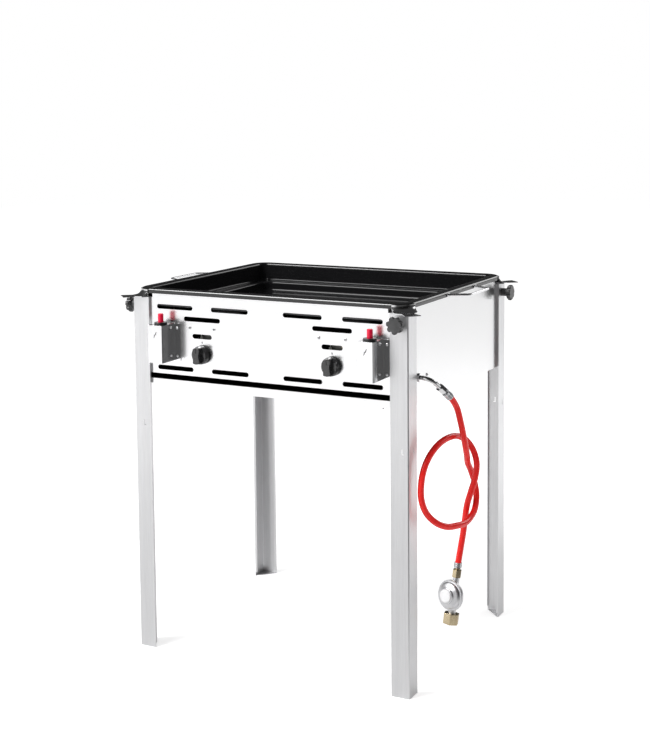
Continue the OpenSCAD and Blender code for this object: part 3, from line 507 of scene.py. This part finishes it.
def joined_rings(shape: bmesh.types.BMesh, rings: Sequence[Sequence[Vector]]) -> None:
    """Joins closed rings of equal counts by quads, and caps both ends.

    Args:
        shape: Receives the faces.
        rings: The rings in order.
    """
    loops = [[shape.verts.new(point) for point in ring] for ring in rings]
    count = len(loops[0])
    for near, far in zip(loops, loops[1:]):
        for i in range(count):
            j = (i + 1) % count
            shape.faces.new((near[i], near[j], far[j], far[i]))
    shape.faces.new(list(reversed(loops[0])))
    shape.faces.new(loops[-1])


def circle(sides: int) -> list[Pair]:
    """Gives the cosine and the sine of each step round a circle."""
    turns = [2 * math.pi * k / sides for k in range(sides)]
    return [(math.cos(turn), math.sin(turn)) for turn in turns]


def arc(centre: Pair, radius: float, start: float, end: float, steps: int) -> list[Pair]:
    """Gives the points of an arc in a plane, from start to end in degrees."""
    turns = [math.radians(start + (end - start) * i / steps) for i in range(steps + 1)]
    return [(centre[0] + radius * math.cos(turn), centre[1] + radius * math.sin(turn)) for turn in turns]


def lathed(name: str, profile: Sequence[Pair], place: Matrix, sides: int) -> Mesh:
    """Turns a profile about the place's Z axis.

    Args:
        name: The mesh's name.
        profile: Radius and height of each ring in millimetres; the first and last are capped.
        place: Where the shape goes.
        sides: Steps round the axis.

    Returns:
        The mesh.
    """
    shape = bmesh.new()
    steps = circle(sides)
    rings = [[place @ (Vector((r * c, r * s, height)) * MM) for c, s in steps] for r, height in profile]
    joined_rings(shape, rings)
    return smooth_mesh(shape, name)


def curve_through(points: Sequence[Vector], before: Vector, after: Vector, step: float) -> list[Vector]:
    """Gives points along a smooth curve through some points.

    Args:
        points: The points that it passes.
        before: A point ahead of the first one, which sets the first direction.
        after: A point past the last one, which sets the last direction.
        step: Distance between the points that are given back.

    Returns:
        The points on the curve.
    """
    ends = [before, *points, after]
    found: list[Vector] = []
    for i in range(1, len(ends) - 2):
        p0, p1, p2, p3 = ends[i - 1 : i + 3]
        count = max(2, round((p2 - p1).length / step))
        for t in (k / count for k in range(count)):
            bend = (2 * p0 - 5 * p1 + 4 * p2 - p3) * t * t + (3 * p1 - p0 - 3 * p2 + p3) * t * t * t
            found.append(0.5 * (2 * p1 + (p2 - p0) * t + bend))
    found.append(points[-1].copy())
    return found


def swept_tube(
    name: str, path: Sequence[Vector], radius: float, first: Vector, last: Vector, sides: int, gap: float
) -> Mesh:
    """Sweeps a round section along a path, with a UV map along it.

    Args:
        name: The mesh's name.
        path: The centre line.
        radius: The section's radius.
        first: Direction at the start, which squares the first end.
        last: Direction at the end.
        sides: Sides of the section.
        gap: Length of a ring on the UV map.

    Returns:
        The mesh.
    """
    heads = [first.normalized()]
    heads += [(path[i + 1] - path[i - 1]).normalized() for i in range(1, len(path) - 1)]
    heads.append(last.normalized())
    normal = Vector((0.3, 0.2, 1.0))
    rings = []
    for point, head in zip(path, heads):
        normal = (normal - normal.dot(head) * head).normalized()
        side = head.cross(normal)
        rings.append([point + radius * (normal * c + side * s) for c, s in circle(sides)])
    shape = bmesh.new()
    joined_rings(shape, rings)
    layer = shape.loops.layers.uv.new("along")
    shape.verts.index_update()
    for face in shape.faces:
        wraps = {v.index % sides for v in face.verts} >= {0, sides - 1}
        for loop in face.loops:
            row, column = divmod(loop.vert.index, sides)
            turn = 1.0 if wraps and column == 0 else column / sides
            loop[layer].uv = (turn, row * gap / (2 * math.pi * radius))
    return smooth_mesh(shape, name)


# ------ repeated small pieces
class Seat(Enum):
    """What a seating tree puts on each of its points."""

    DOME = "dome"
    CROSS = "cross"
    RING = "ring"


@dataclass
class Seating:
    """Puts the same small shape on every seat, by a Geometry Nodes tree."""

    shape: Seat
    radius: float
    height: float
    ball_steps: tuple[int, int] = (20, 10)
    ring_steps: tuple[int, int] = (40, 8)
    bars: tuple[Point, ...] = ((1.15, 0.24, 0.5), (0.24, 1.15, 0.5))

    def tree(self) -> Tree:
        """Builds the tree, with its sizes and its finish as named inputs.

        Returns:
            The tree.
        """
        tree = bpy.data.node_groups.new("seat_" + self.shape.value, "GeometryNodeTree")
        kinds = {"Geometry": "Geometry", "Radius": "Float", "Height": "Float", "Finish": "Material"}
        for label, kind in kinds.items():
            tree.interface.new_socket(label, in_out="INPUT", socket_type="NodeSocket" + kind)
        tree.interface.new_socket("Geometry", in_out="OUTPUT", socket_type="NodeSocketGeometry")
        given = tree.nodes.new("NodeGroupInput").outputs
        named = {"Name": "seat_axis"}
        axis = wired(tree, "GeometryNodeInputNamedAttribute", named, "Attribute", data_type="FLOAT_VECTOR")
        turn = wired(tree, "FunctionNodeAlignEulerToVector", {"Vector": axis}, "Rotation", axis="Z")
        seats = {"Points": given["Geometry"], "Instance": self.instance(tree, given), "Rotation": turn}
        spread = wired(tree, "GeometryNodeInstanceOnPoints", seats, "Instances")
        real = wired(tree, "GeometryNodeRealizeInstances", {"Geometry": spread}, "Geometry")
        paint = {"Geometry": real, "Material": given["Finish"]}
        painted = wired(tree, "GeometryNodeSetMaterial", paint, "Geometry")
        tree.links.new(painted, tree.nodes.new("NodeGroupOutput").inputs["Geometry"])
        return tree

    def instance(self, tree: Tree, given: bpy.types.NodeOutputs) -> Socket:
        """Adds the nodes of the shape that is repeated.

        Args:
            tree: The tree.
            given: What its group input gives.

        Returns:
            The shape's output.
        """
        radius, height = given["Radius"], given["Height"]
        if self.shape is Seat.RING:
            kind, (around, across) = "GeometryNodeCurvePrimitiveCircle", self.ring_steps
            loop = wired(tree, kind, {"Resolution": around, "Radius": radius}, "Curve")
            section = wired(tree, kind, {"Resolution": across, "Radius": height}, "Curve")
            rail = {"Curve": loop, "Profile Curve": section}
            hoop = wired(tree, "GeometryNodeCurveToMesh", rail, "Mesh")
            return wired(tree, "GeometryNodeSetShadeSmooth", {"Geometry": hoop}, "Geometry")
        size = wired(tree, "ShaderNodeCombineXYZ", {"X": radius, "Y": radius, "Z": height}, "Vector")
        if self.shape is Seat.DOME:
            ball = dict(zip(("Segments", "Rings", "Radius"), (*self.ball_steps, 1.0)))
            unit = wired(tree, "GeometryNodeMeshUVSphere", ball, "Mesh")
            sized = wired(tree, "GeometryNodeTransform", {"Geometry": unit, "Scale": size}, "Geometry")
            return wired(tree, "GeometryNodeSetShadeSmooth", {"Geometry": sized}, "Geometry")
        both = tree.nodes.new("GeometryNodeJoinGeometry")
        for sides in self.bars:
            bar = wired(tree, "GeometryNodeMeshCube", {"Size": sides}, "Mesh")
            tree.links.new(bar, both.inputs["Geometry"])
        cross = {"Geometry": both.outputs["Geometry"], "Scale": size}
        return wired(tree, "GeometryNodeTransform", cross, "Geometry")

    def on(
        self, name: str, seats: Sequence[tuple[Point, Point]], finish: Finish, slot: str, nodes: Names = ()
    ) -> Piece:
        """Seats the shape and makes the result a piece that rides on the stand.

        Args:
            name: The piece's name.
            seats: Place and outward axis of each seat.
            finish: What it is covered with.
            slot: Not used.
            nodes: The nodes that it stands for.

        Returns:
            The piece.
        """
        places, axes = zip(*seats)
        seeds = bpy.data.meshes.new(name + "_seats")
        seeds.from_pydata(places, [], [])
        attribute = seeds.attributes.new("seat_axis", "FLOAT_VECTOR", "POINT")
        attribute.data.foreach_set("vector", [value for axis in axes for value in axis])
        carrier = bpy.data.objects.new(name + "_carrier", seeds)
        bpy.context.scene.collection.objects.link(carrier)
        modifier = carrier.modifiers.new("seating", "NODES")
        modifier.node_group = self.tree()
        values = {"Radius": self.radius, "Height": self.height, "Finish": finish.material()}
        for item in modifier.node_group.interface.items_tree:
            if item.in_out == "INPUT" and item.name in values:
                modifier[item.identifier] = values[item.name]
        graph = bpy.context.evaluated_depsgraph_get()
        mesh = bpy.data.meshes.new_from_object(carrier.evaluated_get(graph))
        bpy.data.objects.remove(carrier)
        spare = mesh.attributes.get("seat_axis")
        if spare:
            mesh.attributes.remove(spare)
        return seated(name, mesh, finish, STAND, nodes)


# ------ the camera and the room
@dataclass(frozen=True)
class StudioCamera:
    """A long lens above the pan, almost level and shifted down."""

    position: Point = (1.42262, -2.71624, 1.18652)
    yaw: float = -0.48166
    pitch: float = -0.09398
    roll: float = -0.00911
    lens_mm: float = 66.719
    shift: float = -0.18667
    sensor_mm: float = 36.0
    reach: float = 60.0

    def place(self) -> None:
        """Makes the camera and gives it to the scene."""
        data = bpy.data.cameras.new("studio_camera")
        data.lens = self.lens_mm
        data.sensor_width = self.sensor_mm
        data.shift_y = self.shift
        data.clip_end = self.reach
        camera = bpy.data.objects.new("studio_camera", data)
        stand = Matrix.Translation(Vector(self.position))
        for angle, axis in ((-self.yaw, "Z"), (math.pi / 2 + self.pitch, "X"), (self.roll, "Z")):
            stand = stand @ Matrix.Rotation(angle, 4, axis)
        camera.matrix_world = stand
        bpy.context.scene.collection.objects.link(camera)
        bpy.context.scene.camera = camera


@dataclass(frozen=True)
class Softbox:
    """A square lamp that faces the stand."""

    name: str
    place: Point
    side: float
    watts: float

    def hang(self, target: Point) -> None:
        """Makes the lamp.

        Args:
            target: The point that it faces.
        """
        data = bpy.data.lights.new(self.name, "AREA")
        data.shape = "SQUARE"
        data.size = self.side
        data.energy = self.watts
        lamp = bpy.data.objects.new(self.name, data)
        lamp.location = self.place
        lamp.rotation_euler = (Vector(target) - Vector(self.place)).to_track_quat("-Z", "Y").to_euler()
        bpy.context.scene.collection.objects.link(lamp)


@dataclass
class Studio:
    """White tent, pale floor and soft lamps; metal also mirrors a dark roof and a dim opening."""

    ambient: float = 0.45
    floor_radius: float = 14.0
    floor_sides: int = 96
    floor_rough: float = 0.7
    floor_gloss: float = 0.2
    floor_colour: Colour = (0.90, 0.90, 0.90)
    floor_fade: float = 0.99
    floor_glow: float = 0.64
    dim_side: Point = (0.80, -0.58, 0.12)
    dim_level: float = 0.07
    dim_edge: Pair = (0.58, 0.84)
    dim_height: float = 0.6
    roof_level: float = 0.04
    roof_edge: Pair = (-0.03, 0.05)
    front_rise: float = 0.33
    near_spot: Point = (-0.4, -1.0, 0.0)
    near_level: float = 0.42
    near_edge: Pair = (0.2, 3.6)
    shade_level: float = 0.9
    shade_edge: Pair = (0.6, 3.4)
    lamp_target: Point = (0.0, 0.0, 0.55)
    lamps: tuple[Softbox, ...] = (
        Softbox("key_softbox", (-1.5, -1.9, 3.0), 1.8, 145.0),
        Softbox("back_softbox", (1.0, 3.0, 1.9), 1.4, 16.0),
        Softbox("rim_softbox", (2.2, 1.6, 1.9), 0.8, 4.0),
    )

    def build(self) -> None:
        """Makes the world, the floor and the lamps."""
        self.tent()
        self.floor()
        for lamp in self.lamps:
            lamp.hang(self.lamp_target)
        bpy.context.scene.view_settings.view_transform = "Standard"

    def opening(self, tree: Tree, direction: Socket) -> Socket:
        """Gives the tent's brightness in a direction: dim in its opening, full elsewhere.

        Args:
            tree: The tree that gets the nodes.
            direction: A unit vector from the stand.

        Returns:
            The brightness.
        """
        aim = Vector(self.dim_side).normalized()
        towards = steer(tree, "DOT_PRODUCT", direction, aim, output="Value")
        return ramp(tree, towards, self.dim_edge, (1.0, self.dim_level))

    def tent(self) -> None:
        """White to the eye, a plain level as a light; shiny surfaces see roof and opening."""
        world = bpy.data.worlds.new("tent")
        world.use_nodes = True
        bpy.context.scene.world = world
        tree = world.node_tree
        ray = tree.nodes.new("ShaderNodeLightPath").outputs
        direction = tree.nodes.new("ShaderNodeTexCoord").outputs["Generated"]
        apart = tree.nodes.new("ShaderNodeSeparateXYZ")
        tree.links.new(direction, apart.inputs["Vector"])
        ahead = reckon(tree, "MINIMUM", apart.outputs["Y"], 0.0)
        height = reckon(tree, "MULTIPLY_ADD", ahead, self.front_rise, apart.outputs["Z"])
        roof = ramp(tree, height, self.roof_edge, (1.0, self.roof_level))
        mirrored = reckon(tree, "MULTIPLY", self.opening(tree, direction), roof)
        inputs = {"Factor": ray["Is Glossy Ray"], "A": self.ambient, "B": mirrored}
        lit = wired(tree, "ShaderNodeMix", inputs, "Result")
        clear = reckon(tree, "MAXIMUM", ray["Is Camera Ray"], ray["Is Transmission Ray"])
        seen = wired(tree, "ShaderNodeMix", {"Factor": clear, "A": lit, "B": 1.0}, "Result")
        background = tree.nodes["Background"].inputs
        background["Color"].default_value = WHITE
        tree.links.new(seen, background["Strength"])

    def floor(self) -> None:
        """A pale floor that keeps the stand's shadow and glows only for rays that look at it."""
        recipe = Recipe("pale_floor")
        tree = recipe.tree
        ray = tree.nodes.new("ShaderNodeLightPath").outputs
        where = recipe.where()
        unit = steer(tree, "NORMALIZE", steer(tree, "SUBTRACT", where, (0.0, 0.0, self.dim_height)))
        reach = steer(tree, "DISTANCE", where, self.near_spot, output="Value")
        near = ramp(tree, reach, self.near_edge, (self.near_level, 1.0))
        shade = ramp(tree, reach, self.shade_edge, (self.shade_level, 1.0))
        mirrored = reckon(tree, "MULTIPLY", self.opening(tree, unit), near)
        level = recipe.mixed(shade, mirrored, ray["Is Glossy Ray"])
        pale = tuple(self.floor_fade * c for c in self.floor_colour)
        grain = recipe.noise(recipe.place(), scale=30.0, detail=3.0)
        tone = recipe.blend(grain, self.floor_colour, pale)
        dimmed = {"Vector": tone, "Scale": level}
        recipe.feed(wired(tree, "ShaderNodeVectorMath", dimmed, "Vector", operation="SCALE"), "Base Color")
        recipe.constant("Roughness", self.floor_rough)
        recipe.constant("Specular IOR Level", self.floor_gloss)
        recipe.constant("Emission Color", WHITE)
        shown = reckon(tree, "MAXIMUM", ray["Is Camera Ray"], ray["Is Glossy Ray"])
        shown = reckon(tree, "MAXIMUM", shown, ray["Is Transmission Ray"])
        glow = reckon(tree, "MULTIPLY", reckon(tree, "MULTIPLY", shown, level), self.floor_glow)
        recipe.feed(glow, "Emission Strength")
        shape = bmesh.new()
        bmesh.ops.create_circle(shape, cap_ends=True, segments=self.floor_sides, radius=self.floor_radius)
        mesh = bpy.data.meshes.new("floor")
        shape.to_mesh(mesh)
        shape.free()
        mesh.materials.append(recipe.material)
        floor = bpy.data.objects.new("floor", mesh)
        bpy.context.scene.collection.objects.link(floor)
        floor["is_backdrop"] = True


# ------ gas line
@dataclass
class GasLine:
    """Red hose between the plated inlet and the regulator, with its crimped ends."""

    hose_d: float = 13 * MM
    sides: int = 28
    ring_gap: float = 3.5 * MM
    map_gap: float = 4 * MM
    lead: float = 24 * MM
    start: Point = (370.470 * MM, -166.684 * MM, 598.415 * MM)
    steps: tuple[Point, ...] = (
        (0, 0, 0), (6, 19, -24), (10, 29, -54), (12, 39, -83), (12, 51, -110),
        (8, 69, -134), (2, 89, -155), (2, 107, -176), (7, 114, -201), (14, 108, -228),
        (18, 88, -251), (19, 60, -262), (19, 30, -265), (15, 0, -262), (5, -29, -258),
        (-8, -54, -245), (-21, -72, -223), (-28, -81, -195), (-29, -81, -165), (-27, -73, -136),
        (-23, -56, -113), (-17, -32, -96), (-12, -4, -88), (-8, 25, -87), (-5, 54, -92),
        (3, 78, -105), (13, 92, -128), (20, 94, -156), (18, 90, -185), (11, 85, -213),
        (3, 83, -242), (-1, 82, -271), (-5, 82, -301), (-9, 79, -331), (-13, 74, -365),
    )
    heading: Point = (0.32557, 0.69488, -0.64122)
    turns: tuple[tuple[float, str], ...] = ((5.0, "Y"), (173.0, "X"), (17.0, "Z"))
    ferrule_d: float = 16 * MM
    crimp_r: float = 0.55 * MM
    upper_crimps: Point = (3.0 * MM, 6.5 * MM, 10.0 * MM)
    lower_crimps: Point = (2.5 * MM, 5.5 * MM, 8.5 * MM)
    disc_shift: float = 12 * MM
    disc_drop: float = 68 * MM
    bonnet_sides: int = 72
    cap_sides: int = 60
    dome: tuple[Pair, ...] = (
        (31.5, 0.0), (31.5, 2.2), (30.9, 3.0), (28.6, 3.3), *arc((19.6, 2.6), 8.0, 8, 68, 6),
        (17.4, 11.9), (16.6, 12.6), (16.2, 15.4), (15.4, 16.0),
    )
    button: tuple[Pair, ...] = (
        (13.6, 15.9), (13.6, 17.6), (13.1, 18.5), (12.2, 19.0), (9.6, 19.0), (9.2, 18.6), (8.8, 18.6),
        (8.4, 19.0),
    )
    carried: Names = (
        "inlet_elbow", "inlet_nut", "hose_tail", "hose_ferrule", "regulator_nut", "regulator_body",
        "cylinder_nut",
    )

    def build(self) -> None:
        """Makes the hose first, then what is on it."""
        origin, first, hung = Vector(self.start), Vector(self.heading), self.hang()
        route = [origin + Vector(step) * MM for step in self.steps]
        last = hung.col[2]
        before, after = route[0] - first * self.lead, route[-1] + last * self.lead
        path = curve_through(route, before, after, self.ring_gap)
        mesh = swept_tube("gas_hose_tube", path, self.hose_d / 2, first, last, self.sides, self.map_gap)
        hose = seated("red_gas_hose", mesh, SHOP.hose, STAND, ["gas_hose"])
        self.crimps(route, first, last)
        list(self.regulator(route[-1], hung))

    def hang(self) -> Matrix:
        """Gives the way that the regulator hangs.

        Returns:
            Its turn, whose +Z runs down its own axis and +Y out of its bonnet.
        """
        turn = Matrix.Identity(3)
        for degrees, axis in self.turns:
            turn = turn @ Matrix.Rotation(math.radians(degrees), 3, axis)
        return turn

    def crimps(self, route: Sequence[Vector], first: Vector, last: Vector) -> Piece:
        """Puts crimp rings on both ferrules.

        Args:
            route: The hose's route.
            first: Direction at the upper end.
            last: Direction at the lower end.

        Returns:
            The rings' piece.
        """
        seats = [(tuple(route[0] - first * s), tuple(first)) for s in self.upper_crimps]
        seats += [(tuple(route[-1] + last * s), tuple(last)) for s in self.lower_crimps]
        rings = Seating(Seat.RING, self.ferrule_d / 2, self.crimp_r)
        return rings.on("ferrule_crimps", seats, SHOP.zinc, "ferrule_steel")

    def regulator(self, end: Vector, hung: Matrix) -> tuple[Piece, Piece]:
        """Rounds the regulator's bonnet and gives it its white cap.

        Args:
            end: The hose's lower end.
            hung: The regulator's turn.

        Returns:
            The bonnet and the cap.
        """
        out, up = hung.col[1], -hung.col[2]
        centre = end + hung @ Vector((0.0, self.disc_shift, self.disc_drop))
        place = Matrix.Translation(centre) @ Matrix((up, out.cross(up), out)).transposed().to_4x4()
        shell = lathed("bonnet", self.dome, place, self.bonnet_sides)
        lid = lathed("cap", self.button, place, self.cap_sides)
        dome = seated("rounded_bonnet", shell, SHOP.diecast, STAND, ["regulator_bonnet"])
        return dome, seated("regulator_cap", lid, SHOP.cap, STAND)


# ------ pan
@dataclass
class EnamelPan:
    """Deep enamelled pan with a rolled rim, a ledge and a basin, swept as one skin."""

    rim: Point = (322 * MM, 267 * MM, 38 * MM)
    rim_top: float = 796 * MM
    rim_w: float = 22 * MM
    rim_h: float = 10.5 * MM
    ledge_depth: float = 41 * MM
    ledge_w: float = 26 * MM
    depth: float = 65 * MM
    basin_r: float = 22 * MM
    sheet: float = 1.5 * MM
    edge_r: float = 5 * MM
    lip_r: float = 5.5 * MM
    toe_r: float = 4 * MM
    fillet_r: float = 8 * MM
    corner_steps: int = 14
    side_steps: int = 10

    def outline(self, half_x: float, half_y: float, radius: float, height: float) -> list[Vector]:
        """Gives a level ring of points on a rectangle with round corners.

        Args:
            half_x: Half its width.
            half_y: Half its depth.
            radius: Radius of its corners.
            height: Where it lies.

        Returns:
            The points, in order.
        """
        ring = []
        for quarter, (sx, sy) in enumerate(((1, 1), (-1, 1), (-1, -1), (1, -1))):
            centre = Vector((sx * (half_x - radius), sy * (half_y - radius), height))
            for k in range(self.corner_steps + 1):
                angle = math.radians(90 * quarter + 90 * k / self.corner_steps)
                ring.append(centre + radius * Vector((math.cos(angle), math.sin(angle), 0.0)))
        sides = []
        for k, point in enumerate(ring):
            sides.append(point)
            if k % (self.corner_steps + 1) == self.corner_steps:
                ahead = ring[(k + 1) % len(ring)]
                sides += [point.lerp(ahead, step / self.side_steps) for step in range(1, self.side_steps)]
        return sides

    def skin(self) -> list[tuple[bool, float, float]]:
        """Gives the visible side of the section, from the rim's lip to the basin's floor.

        Returns:
            Whether each point is in the basin, its distance out and its height.
        """
        top, ledge, floor = self.rim_top, self.rim_top - self.ledge_depth, self.rim_top - self.depth
        edge, lip, toe, fillet = self.edge_r, self.lip_r, self.toe_r, self.fillet_r
        rim = [(self.rim_w, top - self.rim_h)]
        rim += arc((self.rim_w - edge, top - edge), edge, 0, 90, 6)
        rim += arc((lip, top - lip), lip, 90, 180, 7)
        rim += arc((-toe, ledge + toe), toe, 0, -90, 6)
        basin = arc((lip, ledge - lip), lip, 90, 180, 7)
        basin += arc((-fillet, floor + fillet), fillet, 0, -90, 8)
        return [(False, u, z) for u, z in rim] + [(True, u, z) for u, z in basin]

    def ring(self, in_basin: bool, out: float, height: float) -> list[Vector]:
        """Gives the ring of one point of the section.

        Args:
            in_basin: Whether it belongs to the basin.
            out: Its distance out.
            height: Its height.

        Returns:
            The ring.
        """
        half_x, half_y, radius = (size - self.rim_w for size in self.rim)
        if in_basin:
            half_x, half_y, radius = half_x - self.ledge_w, half_y - self.ledge_w, self.basin_r
        return self.outline(half_x + out, half_y + out, radius + out, height)

    def build(self) -> None:
        """Sweeps both sides of the skin and closes them at the lip and over the floor."""
        seen = self.skin()
        hidden = []
        for i, (in_basin, u, z) in enumerate(seen):
            near = next((s for s in reversed(seen[:i]) if s[0] == in_basin), seen[i])
            far = next((s for s in seen[i + 1 :] if s[0] == in_basin), seen[i])
            du, dz = far[1] - near[1], far[2] - near[2]
            size = math.hypot(du, dz)
            hidden.append((in_basin, u - dz / size * self.sheet, z + du / size * self.sheet))
        shape = bmesh.new()
        joined_rings(shape, [self.ring(*point) for point in [*reversed(hidden), *seen]])
        mesh = smooth_mesh(shape, "enamel_pan")
        pan = seated("enamel_pan", mesh, SHOP.enamel, "pan", ["roasting_pan"])
        pan.modifiers.new("even_shading", "WEIGHTED_NORMAL").keep_sharp = True


# ------ marks and fasteners
@dataclass
class FrontMarks:
    """Small generic marks: a spark stroke on each cover, a setting mark over each knob."""

    cover_face: float = -310 * MM
    cover_mark_z: float = 704 * MM
    knob_mark_z: float = 687 * MM
    faces: Pair = (-0.12 * MM, 0.02 * MM)
    bolt: tuple[Pair, ...] = (
        (-3.4, -7), (-2.0, -7), (1.0, -0.6), (2.6, -0.6), (4.4, 6.4), (2.6, 6.4), (-0.2, 0.8), (-1.8, 0.8)
    )
    flame: tuple[Pair, ...] = (
        (0, 3.4), (-1.4, 0.6), (-1.7, -1.2), (-0.9, -2.6), (0.9, -2.6), (1.7, -1.2), (1.3, 0.8), (0.7, 0.2)
    )

    def build(self) -> None:
        """Makes both sets of marks."""
        self.raised("spark_marks", self.bolt, [(x, self.cover_face, self.cover_mark_z) for x in COVER_X])
        self.raised("setting_marks", self.flame, [(x, PANEL_FACE, self.knob_mark_z) for x in KNOB_X])

    def raised(self, name: str, outline: Sequence[Pair], places: Sequence[Point]) -> None:
        """Raises a flat outline a hair off the faces that it lies on.

        Args:
            name: The piece's name.
            outline: The mark's outline across and up, in millimetres.
            places: Its middle on each face.
        """
        shape = bmesh.new()
        for x, face, z in places:
            corners = [(x + u * MM, z + v * MM) for u, v in outline]
            joined_rings(shape, [[Vector((a, face + y, b)) for a, b in corners] for y in self.faces])
        seated(name, smooth_mesh(shape, name), SHOP.marks, STAND)


@dataclass
class Fasteners:
    """Rivets of the igniter covers and the panel screws."""

    rivet_dx: float = 26.5 * MM
    rivet_z: Pair = (654 * MM, 714 * MM)
    rivet_size: Pair = (3.1 * MM, 1.7 * MM)
    flange_face: float = -265.2 * MM
    screw_dx: float = 30 * MM
    screw_z: float = 717 * MM
    screw_size: Pair = (3.5 * MM, 2.1 * MM)
    side_screw: Point = (319 * MM, -166 * MM, 640 * MM)
    cross_size: Pair = (3.2 * MM, 1.0 * MM)
    cross_rise: float = 1.9 * MM

    def build(self) -> None:
        """Seats the rivets' domes, then the screws and a dark cross on each head, painted shade for its
        recess.
        """
        front, signs = (0.0, -1.0, 0.0), (-1, 1)
        across = [x + side * self.rivet_dx for x in COVER_X for side in signs]
        rivets = [((x, self.flange_face, z), front) for x in across for z in self.rivet_z]
        across = [x + side * self.screw_dx for x in KNOB_X for side in signs]
        screws = [((x, PANEL_FACE, self.screw_z), front) for x in across]
        screws.append((self.side_screw, (1.0, 0.0, 0.0)))
        recesses = [(tuple(Vector(place) + Vector(axis) * self.cross_rise), axis) for place, axis in screws]
        domes, heads = Seating(Seat.DOME, *self.rivet_size), Seating(Seat.DOME, *self.screw_size)
        domes.on("rivet_domes", rivets, SHOP.fasteners, "fastener_steel", ["cover_rivets"])
        heads.on("screw_heads", screws, SHOP.fasteners, "fastener_steel", ["panel_screws"])
        # A dark cross on each screw head stands in for its recess: painted shade.
        Seating(Seat.CROSS, *self.cross_size).on("screw_recess_shade", recesses, SHOP.shade, "fastener_steel")


# ------ nodes that keep their shape
def sided(*names: str) -> Names:
    """Gives the left and the right node of each name."""
    return tuple(f"{name}_{side}" for name in names for side in ("left", "right"))


def starting(start: str) -> Names:
    """Gives the nodes whose names start so."""
    return tuple(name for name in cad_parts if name.startswith(start))


@dataclass
class DressedNodes:
    """Finishes of the nodes that keep their own shape, and soft edges where they show."""

    edge: float = 0.35 * MM
    sharp_degrees: float = 40.0
    edge_steps: int = 2
    weld: float = 1e-5
    handled: Names = (
        *sided("igniter_cover", "igniter_button", "collar_nut", "valve_knob"),
        "inlet_nut", "regulator_nut", "cylinder_nut",
    )

    def finishes(self) -> dict[Finish, Names]:
        """Gives the nodes of each finish.

        Returns:
            The finishes with their nodes.
        """
        return {
            SHOP.legs: starting("leg_"),
            SHOP.shaded_feet: ("foot_plates",),
            SHOP.panels: ("front_panel", "bottom_tray"),
            SHOP.sides: (*sided("side_panel"), "back_panel"),
            SHOP.covers: sided("igniter_cover"),
            SHOP.supports: ("corner_supports",),
            SHOP.fasteners: ("clamp_studs", "cover_rivets", "panel_screws", *sided("valve_spindle")),
            SHOP.stars: starting("star_knob"),
            SHOP.knobs: sided("valve_knob"),
            SHOP.collars: sided("collar_nut", "igniter_body"),
            SHOP.buttons: sided("igniter_button"),
            SHOP.enamel: ("roasting_pan",),
            SHOP.wire: (*sided("pan_handle"), "pan_handle_lugs"),
            SHOP.burners: (
                *sided("burner", "burner_bracket"), "burner_rear_rail", "manifold_strap", "gas_manifold"
            ),
            SHOP.brass: (
                *sided("valve_body", "valve_core"), "manifold_plug", "injectors", "thermocouples",
                "regulator_nut", "cylinder_nut",
            ),
            SHOP.ceramic: ("spark_electrodes",),
            SHOP.leads: sided("spark_lead"),
            SHOP.chrome: ("inlet_elbow", "inlet_nut"),
            SHOP.zinc: ("hose_tail", "hose_ferrule"),
            SHOP.hose: ("gas_hose",),
            SHOP.diecast: ("regulator_body", "regulator_bonnet"),
        }

    def build(self) -> None:
        """Paints every node, then softens the edges of those that are handled."""
        for finish, names in self.finishes().items():
            for name in names:
                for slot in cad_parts[name].material_slots:
                    slot.material = finish.material()
                LOG.info("%s: %s", name, finish.name)
        for name in self.handled:
            self.soften(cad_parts[name])

    def soften(self, node: Piece) -> None:
        """Rounds a node's sharp edges by a hair.

        Args:
            node: The node.
        """
        node.modifiers.new("one_skin", "WELD").merge_threshold = self.weld
        bevel = node.modifiers.new("soft_edges", "BEVEL")
        bevel.width = self.edge
        bevel.segments = self.edge_steps
        bevel.limit_method = "ANGLE"
        bevel.angle_limit = math.radians(self.sharp_degrees)
        node.modifiers.new("even_shading", "WEIGHTED_NORMAL").keep_sharp = False


def plain_box() -> list[list[float]]:
    """Gives the shown object's box as plain numbers."""
    bpy.context.view_layer.update()
    return [list(corner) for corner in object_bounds()]


def main() -> None:
    """Builds the camera and the hose first, then the room and every piece."""
    logging.basicConfig(level=logging.INFO, format="%(message)s")
    cad_box = plain_box()
    StudioCamera().place()
    GasLine().build()
    Studio().build()
    DressedNodes().build()
    for part in (EnamelPan(), FrontMarks(), Fasteners()):
        part.build()
    {"cad": cad_box, "visual": plain_box()}


if __name__ == "__main__":
    main()
